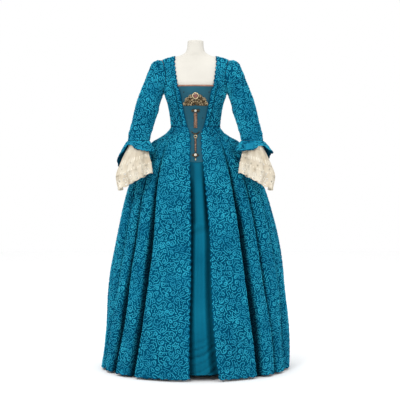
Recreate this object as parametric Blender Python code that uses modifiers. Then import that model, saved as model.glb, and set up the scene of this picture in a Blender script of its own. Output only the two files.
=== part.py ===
"""A teal court gown with a stomacher, elbow sleeves and lace cuffs, worn by a limbless dress form.

Metres, +Z up. The front faces -Y and +X is the viewer's right. The origin lies on the floor under
the middle of the skirt. Every cloth piece is a thin wall between an outer and an inner grid of points,
and every grid is read from the short tables below.
"""

import math
from collections import Counter, namedtuple

import bmesh
import bpy
import numpy as np
from mathutils import Matrix

# Cloth thicknesses and gaps
ROBE_WALL = 0.0025
SATIN_WALL = 0.0016
LACE_WALL = 0.0012
SEAM_GAP = 0.0003
LAYER_GAP = 0.0012

# Heights above the floor
HEM = 0.008
WAIST = 1.134
UNDERARM = 1.300
SHOULDER_TIP = 1.449
NECK_POINT = 1.470
STOMACHER_TOP = 1.3225
STOMACHER_TIP = 0.968
STOMACHER_HEIGHTS = (0.968, 0.985, 1.010, 1.035, 1.060, 1.078, 1.094, 1.106, 1.116, 1.126, WAIST, 1.142,
                     1.152, 1.166, 1.185, 1.21, 1.24, 1.27, 1.30)
PETTICOAT_HEM = 0.030
PETTICOAT_HEIGHTS = (PETTICOAT_HEM, 0.15, 0.32, 0.50, 0.68, 0.84, 0.95, 1.04, 1.09, 1.125)
PETTICOAT_FREE = 0.95
PETTICOAT_INSET_HEM = 0.020
PETTICOAT_INSET_KNEE = 0.015
PETTICOAT_TUCK_HEM = 0.075
PETTICOAT_TUCK_WAIST = 0.030
PETTICOAT_FOLDS = 5
PETTICOAT_FOLD_DEPTH = 0.004

# How deep each layer lies under the outside of the robe
STOMACHER_INSET = ROBE_WALL + LAYER_GAP
PETTICOAT_INSET = STOMACHER_INSET + SATIN_WALL + LAYER_GAP
FORM_GAP = 0.0019
FORM_INSET = ROBE_WALL + FORM_GAP

# The robe's outside, ring by ring: half widths to the viewer's left and right, and reach to front and back
Ring = namedtuple("Ring", "height left right front back")
ROBE_RINGS = [
    Ring(0.000, 0.443, 0.442, 0.385, 0.386),
    Ring(0.222, 0.419, 0.437, 0.360, 0.370),
    Ring(0.458, 0.398, 0.415, 0.322, 0.343),
    Ring(0.657, 0.363, 0.379, 0.280, 0.308),
    Ring(0.806, 0.331, 0.336, 0.241, 0.270),
    Ring(0.931, 0.287, 0.287, 0.202, 0.226),
    Ring(1.026, 0.234, 0.234, 0.166, 0.180),
    Ring(1.063, 0.203, 0.206, 0.149, 0.153),
    Ring(1.084, 0.166, 0.168, 0.138, 0.128),
    Ring(1.110, 0.132, 0.131, 0.127, 0.104),
    Ring(WAIST, 0.1165, 0.1165, 0.119, 0.092),
    Ring(1.190, 0.1215, 0.1215, 0.123, 0.094),
    Ring(1.240, 0.1310, 0.1310, 0.130, 0.098),
    Ring(1.290, 0.1475, 0.1475, 0.137, 0.102),
    Ring(1.330, 0.1560, 0.1560, 0.133, 0.103),
    Ring(1.370, 0.1590, 0.1590, 0.114, 0.101),
    Ring(1.405, 0.1595, 0.1595, 0.090, 0.095),
    Ring(1.430, 0.1590, 0.1590, 0.066, 0.083),
    Ring(SHOULDER_TIP, 0.1570, 0.1570, 0.046, 0.066),
    Ring(1.461, 0.1300, 0.1300, 0.038, 0.057),
    Ring(NECK_POINT, 0.0960, 0.0960, 0.035, 0.053),
    Ring(1.480, 0.0640, 0.0640, 0.038, 0.051),
    Ring(1.492, 0.0490, 0.0490, 0.039, 0.049),
    Ring(1.515, 0.0430, 0.0430, 0.037, 0.045),
    Ring(1.552, 0.0415, 0.0415, 0.035, 0.043),
]

# The robe's two front edges below the waist, as distances from the centre line
Opening = namedtuple("Opening", "height left right")
OPENING = [
    Opening(0.000, 0.0290, 0.1000),
    Opening(0.100, 0.0310, 0.0870),
    Opening(0.300, 0.0290, 0.0765),
    Opening(0.440, 0.0250, 0.0680),
    Opening(0.650, 0.0230, 0.0600),
    Opening(0.800, 0.0225, 0.0450),
    Opening(0.970, 0.0262, 0.0320),
    Opening(1.064, 0.0275, 0.0300),
    Opening(1.105, 0.0310, 0.0320),
    Opening(WAIST, 0.0385, 0.0385),
]

# Deep folds of the skirt, in degrees round from centre front at waist, knee and hem, with their depths.
# Every fold is pressed flat into the waist seam.
KNEE = 0.600
HIP = 1.060
Fold = namedtuple("Fold", "waist knee hem deep_hip deep_knee deep_hem")
BACK_FOLDS = [
    Fold(104, 104, 106, 0.005, 0.022, 0.026),
    Fold(122, 122, 124, 0.006, 0.024, 0.022),
    Fold(140, 141, 142, 0.006, 0.022, 0.028),
    Fold(160, 160, 161, 0.007, 0.026, 0.024),
    Fold(180, 180, 180, 0.006, 0.022, 0.026),
]
FOLDS = {
    -1: [
        Fold(40, 35, 42, 0.006, 0.030, 0.030),
        Fold(53, 50, 60, 0.005, 0.026, 0.036),
        Fold(67, 64, 74, 0.005, 0.022, 0.014),
        Fold(84, 83, 89, 0.004, 0.014, 0.020),
        *BACK_FOLDS,
    ],
    1: [
        Fold(35, 35, 43, 0.008, 0.032, 0.032),
        Fold(50, 50, 58, 0.005, 0.020, 0.020),
        Fold(65, 66, 72, 0.005, 0.014, 0.024),
        Fold(84, 84, 88, 0.004, 0.014, 0.018),
        *BACK_FOLDS,
    ],
}
FOLD_REACH = 5.0
FRONT_PANEL_SHARES = (0.0, 0.16, 0.32, 0.48, 0.64, 0.78, 0.87, 0.945)
ROLL_SHARES = (0.0, 0.12, 0.32, 0.68, 0.88)
BACK_ROLL_SHARES = (0.0, 0.14, 0.50, 0.86)
SKIRT_HEIGHTS = (HEM, 0.17, 0.36, 0.55, 0.71, 0.84, 0.94, 1.02, 1.062, 1.085, 1.108, WAIST)
SCALLOP_DEPTH = 0.008
SCALLOP_SLOPE = 0.24
# The last fold of the front panel and of the side panel, counted from the opening
PANEL_ENDS = {"front": (0, 2), "side": (2, 5), "back": (5, 7), "centre_back": (7, 9)}
FIRST_BACK_ROLL = 5

# Bodice fronts: the inner edge's distance from centre and its height, then where the row ends: at a turn
# of the armhole or at a height of the side seam
FrontRow = namedtuple("FrontRow", "edge_x edge_height turn side_height")
SIDE_SEAM = None
FRONT_ROWS = [
    FrontRow(0.0385, WAIST, SIDE_SEAM, WAIST),
    FrontRow(0.0465, 1.167, SIDE_SEAM, 1.167),
    FrontRow(0.0555, 1.210, SIDE_SEAM, 1.210),
    FrontRow(0.0650, 1.255, SIDE_SEAM, 1.252),
    FrontRow(0.0680, 1.276, SIDE_SEAM, 1.276),
    FrontRow(0.0720, 1.296, SIDE_SEAM, UNDERARM),
    FrontRow(0.0795, 1.3125, 200, None),
    FrontRow(0.0868, 1.3250, 220, None),
    FrontRow(0.0895, 1.3430, 240, None),
    FrontRow(0.0925, 1.3660, 260, None),
    FrontRow(0.0960, 1.3920, 280, None),
    FrontRow(0.0990, 1.4180, 300, None),
    FrontRow(0.1005, 1.4400, 320, None),
    FrontRow(0.0995, 1.4565, 340, None),
    FrontRow(0.0978, 1.4640, 350, None),
    FrontRow(0.0960, NECK_POINT, 360, None),
]
# Bodice backs: the inner edge's angle from centre front and height
BackRow = namedtuple("BackRow", "edge_angle edge_height turn side_height")
BACK_ROWS = [
    BackRow(180, WAIST, SIDE_SEAM, WAIST),
    BackRow(180, 1.190, SIDE_SEAM, 1.190),
    BackRow(180, 1.245, SIDE_SEAM, 1.245),
    BackRow(180, UNDERARM, SIDE_SEAM, UNDERARM),
    BackRow(180, 1.316, 160, None),
    BackRow(180, 1.336, 140, None),
    BackRow(180, 1.357, 120, None),
    BackRow(180, 1.378, 100, None),
    BackRow(180, 1.398, 80, None),
    BackRow(180, 1.414, 60, None),
    BackRow(180, 1.428, 50, None),
    BackRow(170, 1.431, 40, None),
    BackRow(153, 1.440, 30, None),
    BackRow(136, 1.450, 20, None),
    BackRow(113, 1.463, 10, None),
    BackRow(90, NECK_POINT, 0, None),
]
BODICE_COLUMNS = 9
# The armhole is an oval on the figure's side
ARMHOLE_MIDDLE = (UNDERARM + SHOULDER_TIP) / 2
ARMHOLE_HALF_HEIGHT = (SHOULDER_TIP - UNDERARM) / 2
ARMHOLE_HALF_ANGLE = 29.0

# Sleeve rings from the elbow to the shoulder: outermost and innermost points, and the middle's depth
SleeveRing = namedtuple("SleeveRing", "outer_x outer_z inner_x inner_z middle_y half_depth")
SLEEVE_RINGS = [
    SleeveRing(0.3105, 1.0660, 0.2110, 1.0660, -0.150, 0.050),
    SleeveRing(0.3060, 1.1020, 0.2040, 1.1020, -0.128, 0.051),
    SleeveRing(0.2950, 1.1560, 0.1920, 1.1460, -0.095, 0.053),
    SleeveRing(0.2810, 1.2200, 0.1790, 1.1960, -0.062, 0.054),
    SleeveRing(0.2640, 1.2800, 0.1680, 1.2400, -0.038, 0.056),
    SleeveRing(0.2430, 1.3380, 0.1600, 1.2680, -0.020, 0.058),
    SleeveRing(0.2210, 1.3990, 0.1545, 1.2860, -0.007, 0.060),
    SleeveRing(0.1970, 1.4400, 0.1525, 1.2945, 0.001, 0.061),
    SleeveRing(0.1790, 1.4500, 0.1520, 1.2965, 0.001, 0.061),
]
SLEEVE_COLUMNS = 18
ARMHOLE_GAP = 0.0008

# Sleeve flounce by turn round the elbow: 0 outside, 90 back, 180 inside, 270 front
FlouncePoint = namedtuple("FlouncePoint", "turn drop spread")
FLOUNCE = {
    -1: [
        FlouncePoint(0, 0.080, 0.043),
        FlouncePoint(25, 0.119, 0.061),
        FlouncePoint(60, 0.092, 0.044),
        FlouncePoint(95, 0.060, 0.026),
        FlouncePoint(140, 0.044, 0.016),
        FlouncePoint(180, 0.046, 0.020),
        FlouncePoint(225, 0.052, 0.034),
        FlouncePoint(270, 0.042, 0.026),
        FlouncePoint(312, 0.020, 0.010),
        FlouncePoint(338, 0.048, 0.028),
        FlouncePoint(360, 0.080, 0.043),
    ],
    1: [
        FlouncePoint(0, 0.054, 0.043),
        FlouncePoint(22, 0.066, 0.048),
        FlouncePoint(46, 0.086, 0.049),
        FlouncePoint(95, 0.058, 0.026),
        FlouncePoint(140, 0.044, 0.016),
        FlouncePoint(180, 0.040, 0.026),
        FlouncePoint(225, 0.048, 0.040),
        FlouncePoint(270, 0.044, 0.024),
        FlouncePoint(304, 0.021, 0.012),
        FlouncePoint(334, 0.042, 0.032),
        FlouncePoint(360, 0.054, 0.043),
    ],
}
FLOUNCE_COLUMNS = 36
FLOUNCE_WAVES = 9
FLOUNCE_WAVE = 0.005
FLOUNCE_SHARES = (1.0, 0.62, 0.28, 0.0)

# Lace cuff: a bell that hangs from inside the sleeve's end
LaceRing = namedtuple("LaceRing", "share middle_x middle_y half_width half_depth ripple")
LACE_RINGS = [
    LaceRing(0.00, 0.2583, -0.1414, 0.0462, 0.0462, 0.0000),
    LaceRing(0.12, 0.2620, -0.1545, 0.0445, 0.0440, 0.0008),
    LaceRing(0.45, 0.2750, -0.1730, 0.0600, 0.0490, 0.0040),
    LaceRing(0.75, 0.2825, -0.1870, 0.0755, 0.0520, 0.0065),
    LaceRing(1.00, 0.2770, -0.1950, 0.0715, 0.0520, 0.0080),
]
LACE_TOP = 1.080
LACE_EDGE_MIDDLE = 0.884
LACE_EDGE_SLANT = 0.040
LACE_SCALLOPS = 16
LACE_SCALLOP_DEPTH = 0.007
LACE_COLUMNS = 3 * LACE_SCALLOPS
LACE_RIPPLES = 9
LACE_SHARES = (1.0, 0.955, 0.90, 0.865, 0.815, 0.45, 0.12, 0.0)
LACE_EYELET_ROWS = (1, 3)
# A half of a lace tube spans the turns between its two seams
LACE_HALVES = {"front": (0.5, 1.0), "back": (0.0, 0.5)}

# Dress form below the waist, and its stand
FormRing = namedtuple("FormRing", "height half_width front back")
FORM_HIPS = [
    FormRing(0.850, 0.150, 0.105, 0.100),
    FormRing(0.872, 0.166, 0.118, 0.112),
    FormRing(0.940, 0.172, 0.120, 0.118),
    FormRing(1.010, 0.160, 0.116, 0.112),
    FormRing(1.070, 0.128, 0.108, 0.096),
    FormRing(1.105, 0.112, 0.104, 0.086),
]
FORM_HEIGHTS = (1.134, 1.165, 1.200, 1.240, 1.280, 1.310, 1.335, 1.360, 1.385, 1.408, 1.428, 1.440,
                1.4495, 1.456, 1.463, 1.472, 1.482, 1.495, 1.515, 1.537)
FORM_COLUMNS = 24
NECK_TOP = 1.543
NECK_TOP_SHARE = 0.72
# The figure is set back under the stomacher, as far round as this angle and up to this height
SATIN_HALF_ANGLE = 62
SATIN_ANGLE_FADE = 12
SATIN_HEIGHT = 1.345
SATIN_HEIGHT_FADE = 0.015
# The figure is slimmer at the waist, in front and at the sides
WAIST_EASE = 0.003
WAIST_EASE_TOP = 1.20
WAIST_EASE_FADE = 0.06
WAIST_EASE_ANGLE = 90
WAIST_EASE_ANGLE_FADE = 40
STAND_Y = -0.010
POLE_RADIUS = 0.016
POLE_SIDES = 12
BASE_RADIUS = 0.190
BASE_THICKNESS = 0.012
BASE_SIDES = 30
BASE_ROUNDING = 0.003

# Metal ornament down the middle of the stomacher, by the height of each piece's middle
ORNAMENT_GAP = 0.0006
FAN_FOOT = 1.2285
FAN_HALF_WIDTH = 0.0585
FAN_RISE = 0.0545
FAN_SPREAD = 92.0
FAN_PLUMES = 7
FAN_NOTCH = 0.84
FAN_SHARES = (0.07, 0.35, 0.70, 1.0)
FAN_THICKNESS = 0.0045
RING_HEIGHT = 1.2735
RING_RADIUS = 0.0125
RING_WIRE = 0.0032
STONE_HALF_DEPTH = 0.0036
LINK_HEIGHT = 1.2050
LINK_HALF_WIDTH = 0.0215
LINK_HALF_HEIGHT = 0.0052
LINK_HALF_DEPTH = 0.0022
PEARL_RADIUS = 0.0058
PEARL_HALF_DEPTH = 0.0030
UPPER_BAR = (1.1260, 1.1955)
UPPER_BAR_WIDTH = 0.018
UPPER_BAR_THICKNESS = 0.0036
CRESCENT_HEIGHT = 1.1160
CRESCENT_RADIUS = 0.0175
CRESCENT_WIRE = 0.0030
LOOP_HEIGHT = 1.0855
LOOP_RADIUS = 0.0068
LOOP_WIRE = 0.0022
LOWER_BAR = (1.0165, 1.0755)
LOWER_BAR_WIDTH = 0.0100
LOWER_BAR_THICKNESS = 0.0030
DROP_HEIGHT = 1.0000
DROP_HALF_WIDTH = 0.0190
DROP_HALF_HEIGHT = 0.0140
DROP_THICKNESS = 0.0030
DROP_STONE_RADIUS = 0.0065
DROP_STONE_HALF_DEPTH = 0.0026
TIP_HEIGHT = 0.9800
TIP_RADII = (0.0030, 0.0020, 0.0050)


def clear_scene():
    for old in list(bpy.data.objects):
        bpy.data.objects.remove(old, do_unlink=True)


def material(name, colour, roughness, metallic=0.0):
    made = bpy.data.materials.new(name)
    made.use_nodes = True
    shader = made.node_tree.nodes["Principled BSDF"]
    shader.inputs["Base Color"].default_value = (*colour, 1.0)
    shader.inputs["Roughness"].default_value = roughness
    shader.inputs["Metallic"].default_value = metallic
    made.diffuse_color = (*colour, 1.0)
    return made


def smooth_curve(stations, values, at):
    """A smooth curve through the stations that never overshoots them, read at any places."""
    x = np.asarray(stations, float)
    y = np.asarray(values, float)
    slope = np.diff(y) / np.diff(x)
    tangent = np.zeros(len(x))
    tangent[0] = slope[0]
    tangent[-1] = slope[-1]
    product = slope[:-1] * slope[1:]
    total = slope[:-1] + slope[1:]
    keeps_on = product > 0
    tangent[1:-1][keeps_on] = 2 * product[keeps_on] / total[keeps_on]
    at = np.clip(np.asarray(at, float), x[0], x[-1])
    i = np.clip(np.searchsorted(x, at, side="right") - 1, 0, len(x) - 2)
    step = x[i + 1] - x[i]
    t = (at - x[i]) / step
    rise = t * t * (3 - 2 * t)
    leave = t * (1 - t) ** 2 * step * tangent[i]
    arrive = t * t * (t - 1) * step * tangent[i + 1]
    return y[i] * (1 - rise) + y[i + 1] * rise + leave + arrive


def read_table(rows, column, at):
    """One column of a table at any value of its first column."""
    return smooth_curve([row[0] for row in rows], [getattr(row, column) for row in rows], at)


def smoothstep(t):
    t = np.clip(t, 0.0, 1.0)
    return t * t * (3 - 2 * t)


def points(x, y, z):
    return np.stack(np.broadcast_arrays(x, y, z), axis=-1)


def unit(vectors):
    return vectors / np.linalg.norm(vectors, axis=-1, keepdims=True)


def level(vectors):
    return unit(vectors * (1, 1, 0))


def ring_point(angle, height):
    """A point on the robe's smooth outside. The angle is 0 in front, 90 at the right side, 180 behind."""
    turn = np.radians(angle)
    half_width = np.where(
        np.sin(turn) < 0,
        read_table(ROBE_RINGS, "left", height),
        read_table(ROBE_RINGS, "right", height),
    )
    depth = np.where(
        np.cos(turn) > 0,
        read_table(ROBE_RINGS, "front", height),
        read_table(ROBE_RINGS, "back", height),
    )
    return points(half_width * np.sin(turn), -depth * np.cos(turn), height)


def normal_of(surface, first, second, first_step, second_step):
    """The outward direction of a surface of two parameters, from small steps along both."""
    along = surface(first + first_step, second) - surface(first - first_step, second)
    up = surface(first, second + second_step) - surface(first, second - second_step)
    return unit(np.cross(along, up))


def ring_normal(angle, height):
    return normal_of(ring_point, angle, height, 0.2, 0.0008)


def front_point(x, height):
    """A point on the robe's smooth front, by its distance from the centre line."""
    half_width = np.where(
        x < 0,
        read_table(ROBE_RINGS, "left", height),
        read_table(ROBE_RINGS, "right", height),
    )
    share = np.clip(x / half_width, -0.999, 0.999)
    return points(x, -read_table(ROBE_RINGS, "front", height) * np.sqrt(1 - share**2), height)


def front_normal(x, height):
    return normal_of(front_point, x, height, 0.0005, 0.0008)


def grid_normals(grid, closed):
    """Outward directions of a grid whose rows rise and whose columns run anticlockwise from above."""
    if closed:
        along = np.roll(grid, -1, axis=1) - np.roll(grid, 1, axis=1)
    else:
        along = np.gradient(grid, axis=1)
    return unit(np.cross(along, np.gradient(grid, axis=0)))


def grid_faces(rows, columns, closed, holes=(), hem_start=None):
    """Faces of a grid, row 0 at the bottom. A hem point, if any, splits each bottom edge in two."""
    faces = []
    for row in range(rows - 1):
        for column in range(columns if closed else columns - 1):
            if (row, column) in holes:
                continue
            beside = (column + 1) % columns
            low_left = row * columns + column
            low_right = row * columns + beside
            top = [low_right + columns, low_left + columns]
            if row == 0 and hem_start is not None:
                faces.append((low_left, hem_start + column, low_right, *top))
            else:
                faces.append((low_left, low_right, *top))
    return faces


def thick_faces(faces, count):
    """A wall's faces: the outer sheet, the inner sheet turned round, and a rim along every open edge."""
    edges = Counter()
    for face in faces:
        for a, b in zip(face, face[1:] + face[:1]):
            edges[frozenset((a, b))] += 1
    walls = [tuple(i + count for i in reversed(face)) for face in faces]
    for face in faces:
        for a, b in zip(face, face[1:] + face[:1]):
            if edges[frozenset((a, b))] == 1:
                walls.append((b, a, a + count, b + count))
    return list(faces) + walls


def mesh_object(name, vertices, faces, finish, collection):
    mesh = bpy.data.meshes.new(name)
    mesh.from_pydata([tuple(v) for v in vertices], [], faces)
    loose = bmesh.new()
    loose.from_mesh(mesh)
    bmesh.ops.delete(loose, geom=[v for v in loose.verts if not v.link_faces], context="VERTS")
    loose.to_mesh(mesh)
    loose.free()
    mesh.materials.append(finish)
    mesh.shade_smooth()
    mesh.set_sharp_from_angle(angle=math.radians(40))
    made = bpy.data.objects.new(name, mesh)
    collection.objects.link(made)
    return made


def wall(name, outer, inner, finish, collection, closed=False, holes=(), hems=None):
    """A cloth wall between two grids of points, with the hem points of both if it has a scalloped hem."""
    rows, columns = outer.shape[:2]
    outside = outer.reshape(-1, 3)
    inside = inner.reshape(-1, 3)
    hem_start = None
    if hems is not None:
        hem_start = rows * columns
        outside = np.concatenate([outside, hems[0]])
        inside = np.concatenate([inside, hems[1]])
    faces = grid_faces(rows, columns, closed, holes, hem_start)
    vertices = np.concatenate([outside, inside])
    return mesh_object(name, vertices, thick_faces(faces, len(outside)), finish, collection)


def dip(distance):
    """How much of a fold's depth is left this many degrees away from its line."""
    return 1 - smoothstep(distance / FOLD_REACH)


def fold_line(fold, height):
    return smooth_curve((0.0, KNEE, WAIST), (fold.hem, fold.knee, fold.waist), height)


def fold_depth(fold, height):
    depths = (fold.deep_hem, fold.deep_knee, fold.deep_hip, 0.0)
    return smooth_curve((0.0, KNEE, HIP, WAIST), depths, height)


def opening_angle(side, height):
    distance = read_table(OPENING, "left" if side < 0 else "right", height)
    half_width = read_table(ROBE_RINGS, "left" if side < 0 else "right", height)
    return np.degrees(np.arcsin(distance / half_width))


def skirt_point(side, along, height):
    """A point on the folded skirt. along counts the rolls of cloth from the opening, 0, to centre back."""
    folds = FOLDS[side]
    along, height = np.broadcast_arrays(along, height)
    lines = np.stack([opening_angle(side, height)] + [fold_line(fold, height) for fold in folds])
    depths = np.stack([np.zeros(height.shape)] + [fold_depth(fold, height) for fold in folds])
    roll = np.clip(np.floor(along).astype(int), 0, len(folds) - 1)
    share = along - roll
    before = np.take_along_axis(lines, roll[None], 0)[0]
    after = np.take_along_axis(lines, roll[None] + 1, 0)[0]
    span = after - before
    indent = np.take_along_axis(depths, roll[None], 0)[0] * dip(share * span)
    indent = indent + np.take_along_axis(depths, roll[None] + 1, 0)[0] * dip((1 - share) * span)
    angle = side * (before + share * span)
    return ring_point(angle, height) - indent[..., None] * ring_normal(angle, height) * (1, 1, 0)


def skirt_normal(side, along, height):
    """Outward direction of the folded skirt; the left side counts its rolls the other way round."""
    step = 0.004
    ahead = skirt_point(side, np.minimum(along + step, len(FOLDS[side])), height)
    behind = skirt_point(side, np.maximum(along - step, 0.0), height)
    up = skirt_point(side, along, height + 0.001) - skirt_point(side, along, height - 0.001)
    return unit(np.cross(side * (ahead - behind), up))


def seam_direction(side, fold, height):
    """The level direction across a seam that lies in a fold, the same for the panels on both its sides."""
    angle = side * fold_line(FOLDS[side][fold - 1], height)
    return unit(side * (ring_point(angle + 0.2, height) - ring_point(angle - 0.2, height)))


def panel_columns(first, last):
    """Places of a panel's columns between two folds: close beside a fold and wide on a roll."""
    places = []
    for roll in range(first, last):
        shares = FRONT_PANEL_SHARES if roll == 0 else ROLL_SHARES
        if roll >= FIRST_BACK_ROLL:
            shares = BACK_ROLL_SHARES
        places.extend(roll + share for share in shares)
    return np.array([*places, last], float)


def skirt_panel(side, part, finish, collection):
    """One robe skirt panel, between two fold lines, with a scalloped hem."""
    first, last = PANEL_ENDS[part]
    along = panel_columns(first, last)
    heights = np.array(SKIRT_HEIGHTS)
    heights[-1] = WAIST - SEAM_GAP / 2
    where, height = np.meshgrid(along, heights)
    outer = skirt_point(side, where, height)
    normals = skirt_normal(side, where, height)
    hem_outer = skirt_point(side, (along[:-1] + along[1:]) / 2, np.full(len(along) - 1, HEM))
    hem_normals = skirt_normal(side, (along[:-1] + along[1:]) / 2, np.full(len(along) - 1, HEM))
    widths = np.linalg.norm(np.diff(outer[0], axis=0), axis=1)
    drops = np.minimum(widths * SCALLOP_SLOPE, SCALLOP_DEPTH)
    rises = np.maximum(np.append(drops, 0), np.append(0, drops))
    outer[0, :, 2] += rises
    normals[-1] = level(normals[-1])
    inner = outer - normals * ROBE_WALL
    for column, end, way in ((0, first, 1), (-1, last, -1)):
        if end > 0:
            shift = way * SEAM_GAP / 2 * seam_direction(side, end, heights)
            outer[:, column] += shift
            inner[:, column] += shift
    hem_inner = hem_outer - hem_normals * ROBE_WALL
    if side < 0:
        outer = outer[:, ::-1]
        inner = inner[:, ::-1]
        hem_outer = hem_outer[::-1]
        hem_inner = hem_inner[::-1]
    name = f"skirt_{part}_{'left' if side < 0 else 'right'}"
    return wall(name, outer, inner, finish, collection, hems=(hem_outer, hem_inner))


def armhole(turn):
    """Angle and height of the armhole: turn 0 at the shoulder, 90 behind, 180 underarm, 270 in front."""
    turn = np.radians(turn)
    return (
        90 + ARMHOLE_HALF_ANGLE * np.sin(turn),
        ARMHOLE_MIDDLE + ARMHOLE_HALF_HEIGHT * np.cos(turn),
    )


def bodice_grid(ends):
    """Angles and heights between the two ends of every row."""
    share = np.linspace(0, 1, BODICE_COLUMNS)
    inner_angle, inner_height, outer_angle, outer_height = np.array(ends).T[:, :, None]
    angle = inner_angle + (outer_angle - inner_angle) * share
    height = inner_height + (outer_height - inner_height) * smoothstep(share)
    return angle, height


def row_end(row):
    if row.turn is SIDE_SEAM:
        return 90.0, row.side_height
    return armhole(row.turn)


def bodice_wall(name, angle, height, side, toward_back, finish, collection):
    """A bodice piece on the figure, on the right half first and mirrored for the left one."""
    outer = ring_point(angle, height)
    normals = ring_normal(angle, height)
    at_seam = np.isclose(angle, 90.0)
    outer[..., 1] += np.where(at_seam, SEAM_GAP / 2 * toward_back, 0)
    outer[..., 0] += np.where(np.isclose(angle, 180.0), SEAM_GAP / 2, 0)
    outer[0, :, 2] += SEAM_GAP / 2
    normals[0] = level(normals[0])
    inner = outer - normals * ROBE_WALL
    if toward_back > 0:
        outer = outer[:, ::-1]
        inner = inner[:, ::-1]
    if side < 0:
        outer = outer[:, ::-1] * (-1, 1, 1)
        inner = inner[:, ::-1] * (-1, 1, 1)
    return wall(name, outer, inner, finish, collection)


def bodice_front(side, finish, collection):
    ends = []
    for row in FRONT_ROWS:
        half_width = read_table(ROBE_RINGS, "right", row.edge_height)
        angle = math.degrees(math.asin(min(1.0, row.edge_x / half_width)))
        ends.append((angle, row.edge_height, *row_end(row)))
    angle, height = bodice_grid(ends)
    name = f"bodice_front_{'left' if side < 0 else 'right'}"
    return bodice_wall(name, angle, height, side, -1, finish, collection)


def bodice_back(side, finish, collection):
    ends = [(row.edge_angle, row.edge_height, *row_end(row)) for row in BACK_ROWS]
    angle, height = bodice_grid(ends)
    name = f"bodice_back_{'left' if side < 0 else 'right'}"
    return bodice_wall(name, angle, height, side, 1, finish, collection)


def inset_front(x, height, inset):
    return front_point(x, height) - front_normal(x, height) * np.asarray(inset)[..., None]


def front_edges(height):
    """Left and right front edge of the robe at any height below the neckline."""
    rows = [row for row in FRONT_ROWS if row.edge_height <= 1.330]
    above = smooth_curve([row.edge_height for row in rows], [row.edge_x for row in rows], height)
    left = np.where(height > WAIST, above, read_table(OPENING, "left", height))
    right = np.where(height > WAIST, above, read_table(OPENING, "right", height))
    return -left, right


def stomacher(finish, collection):
    """The satin front panel, tucked under both edges of the robe and blunt at its tip."""
    tuck = 0.007
    heights = np.array([*STOMACHER_HEIGHTS, STOMACHER_TOP - 0.004])
    across = np.linspace(0, 1, 9)
    left, right = front_edges(heights[:, None])
    x = left - tuck + (right - left + 2 * tuck) * across
    height = np.broadcast_to(heights[:, None], x.shape).copy()
    bow = 4 * across * (1 - across)
    height[0] -= 0.006 * bow - 0.006
    outer = inset_front(x, height, np.full(x.shape, STOMACHER_INSET))
    inner = inset_front(x, height, np.full(x.shape, STOMACHER_INSET + SATIN_WALL))
    return wall("stomacher", outer, inner, finish, collection)


def neckline_binding(finish, collection):
    """A narrow bound edge along the top of the stomacher."""
    x = np.linspace(-0.090, 0.090, 11)[None, :]
    heights = np.array([STOMACHER_TOP - 0.004 + SEAM_GAP, STOMACHER_TOP + 0.0022])[:, None]
    x, height = np.broadcast_arrays(x, heights)
    bulge = 0.0006
    outer = inset_front(x, height, np.full(x.shape, STOMACHER_INSET - bulge + 0.0003))
    inner = inset_front(x, height, np.full(x.shape, STOMACHER_INSET + SATIN_WALL))
    return wall("neckline_binding", outer, inner, finish, collection)


def petticoat_inset(height):
    """The petticoat hangs close under the stomacher and further back towards its hem."""
    stations = [0.0, 0.60, PETTICOAT_FREE, WAIST]
    insets = [PETTICOAT_INSET_HEM, PETTICOAT_INSET_KNEE, PETTICOAT_INSET, PETTICOAT_INSET]
    return smooth_curve(stations, insets, height)


def petticoat_front(finish, collection):
    """The plain satin panel that shows in the robe's opening and tucks under both its edges."""
    heights = np.array(PETTICOAT_HEIGHTS)
    across = np.linspace(0, 1, 14)
    left, right = front_edges(heights[:, None])
    tuck = smooth_curve((0.0, WAIST), (PETTICOAT_TUCK_HEM, PETTICOAT_TUCK_WAIST), heights)[:, None]
    x = left - tuck + (right - left + 2 * tuck) * across
    height = np.broadcast_to(heights[:, None], x.shape)
    ripple = smoothstep((PETTICOAT_FREE - height) / 0.5) * np.sin(across * PETTICOAT_FOLDS * math.pi) ** 2
    ripple = PETTICOAT_FOLD_DEPTH * ripple
    inset = petticoat_inset(height) + ripple
    outer = inset_front(x, height, inset)
    inner = inset_front(x, height, inset + SATIN_WALL)
    return wall("petticoat_front", outer, inner, finish, collection)


def sleeve_ring(side, row, turn):
    """An oval ring of the right or left sleeve; turn 0 is outermost and 90 is at the back."""
    outer = np.array([row.outer_x, 0.0, row.outer_z])
    inner = np.array([row.inner_x, 0.0, row.inner_z])
    middle = (outer + inner) / 2 + (0, row.middle_y, 0)
    ring = middle + np.cos(turn)[:, None] * (outer - inner) / 2
    ring = ring + np.sin(turn)[:, None] * np.array([0, row.half_depth, 0])
    return ring * (side, 1, 1)


def facing(grid, side):
    """The left side's grids are mirrored, so their columns are turned round."""
    return grid if side > 0 else grid[:, ::-1]


def sleeve(side, finish, collection):
    """A tube from the elbow to the armhole seam."""
    turn = np.arange(SLEEVE_COLUMNS) * 2 * math.pi / SLEEVE_COLUMNS
    rings = [sleeve_ring(side, row, turn) for row in SLEEVE_RINGS]
    seam = ring_point(*armhole(np.degrees(turn)))
    seam[:, 0] += ARMHOLE_GAP
    rings.append(seam * (side, 1, 1))
    outer = facing(np.array(rings), side)
    normals = grid_normals(outer, True)
    normals[0] = level(normals[0])
    inner = outer - normals * ROBE_WALL
    return wall(f"sleeve_{'left' if side < 0 else 'right'}", outer, inner, finish, collection, closed=True)


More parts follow.
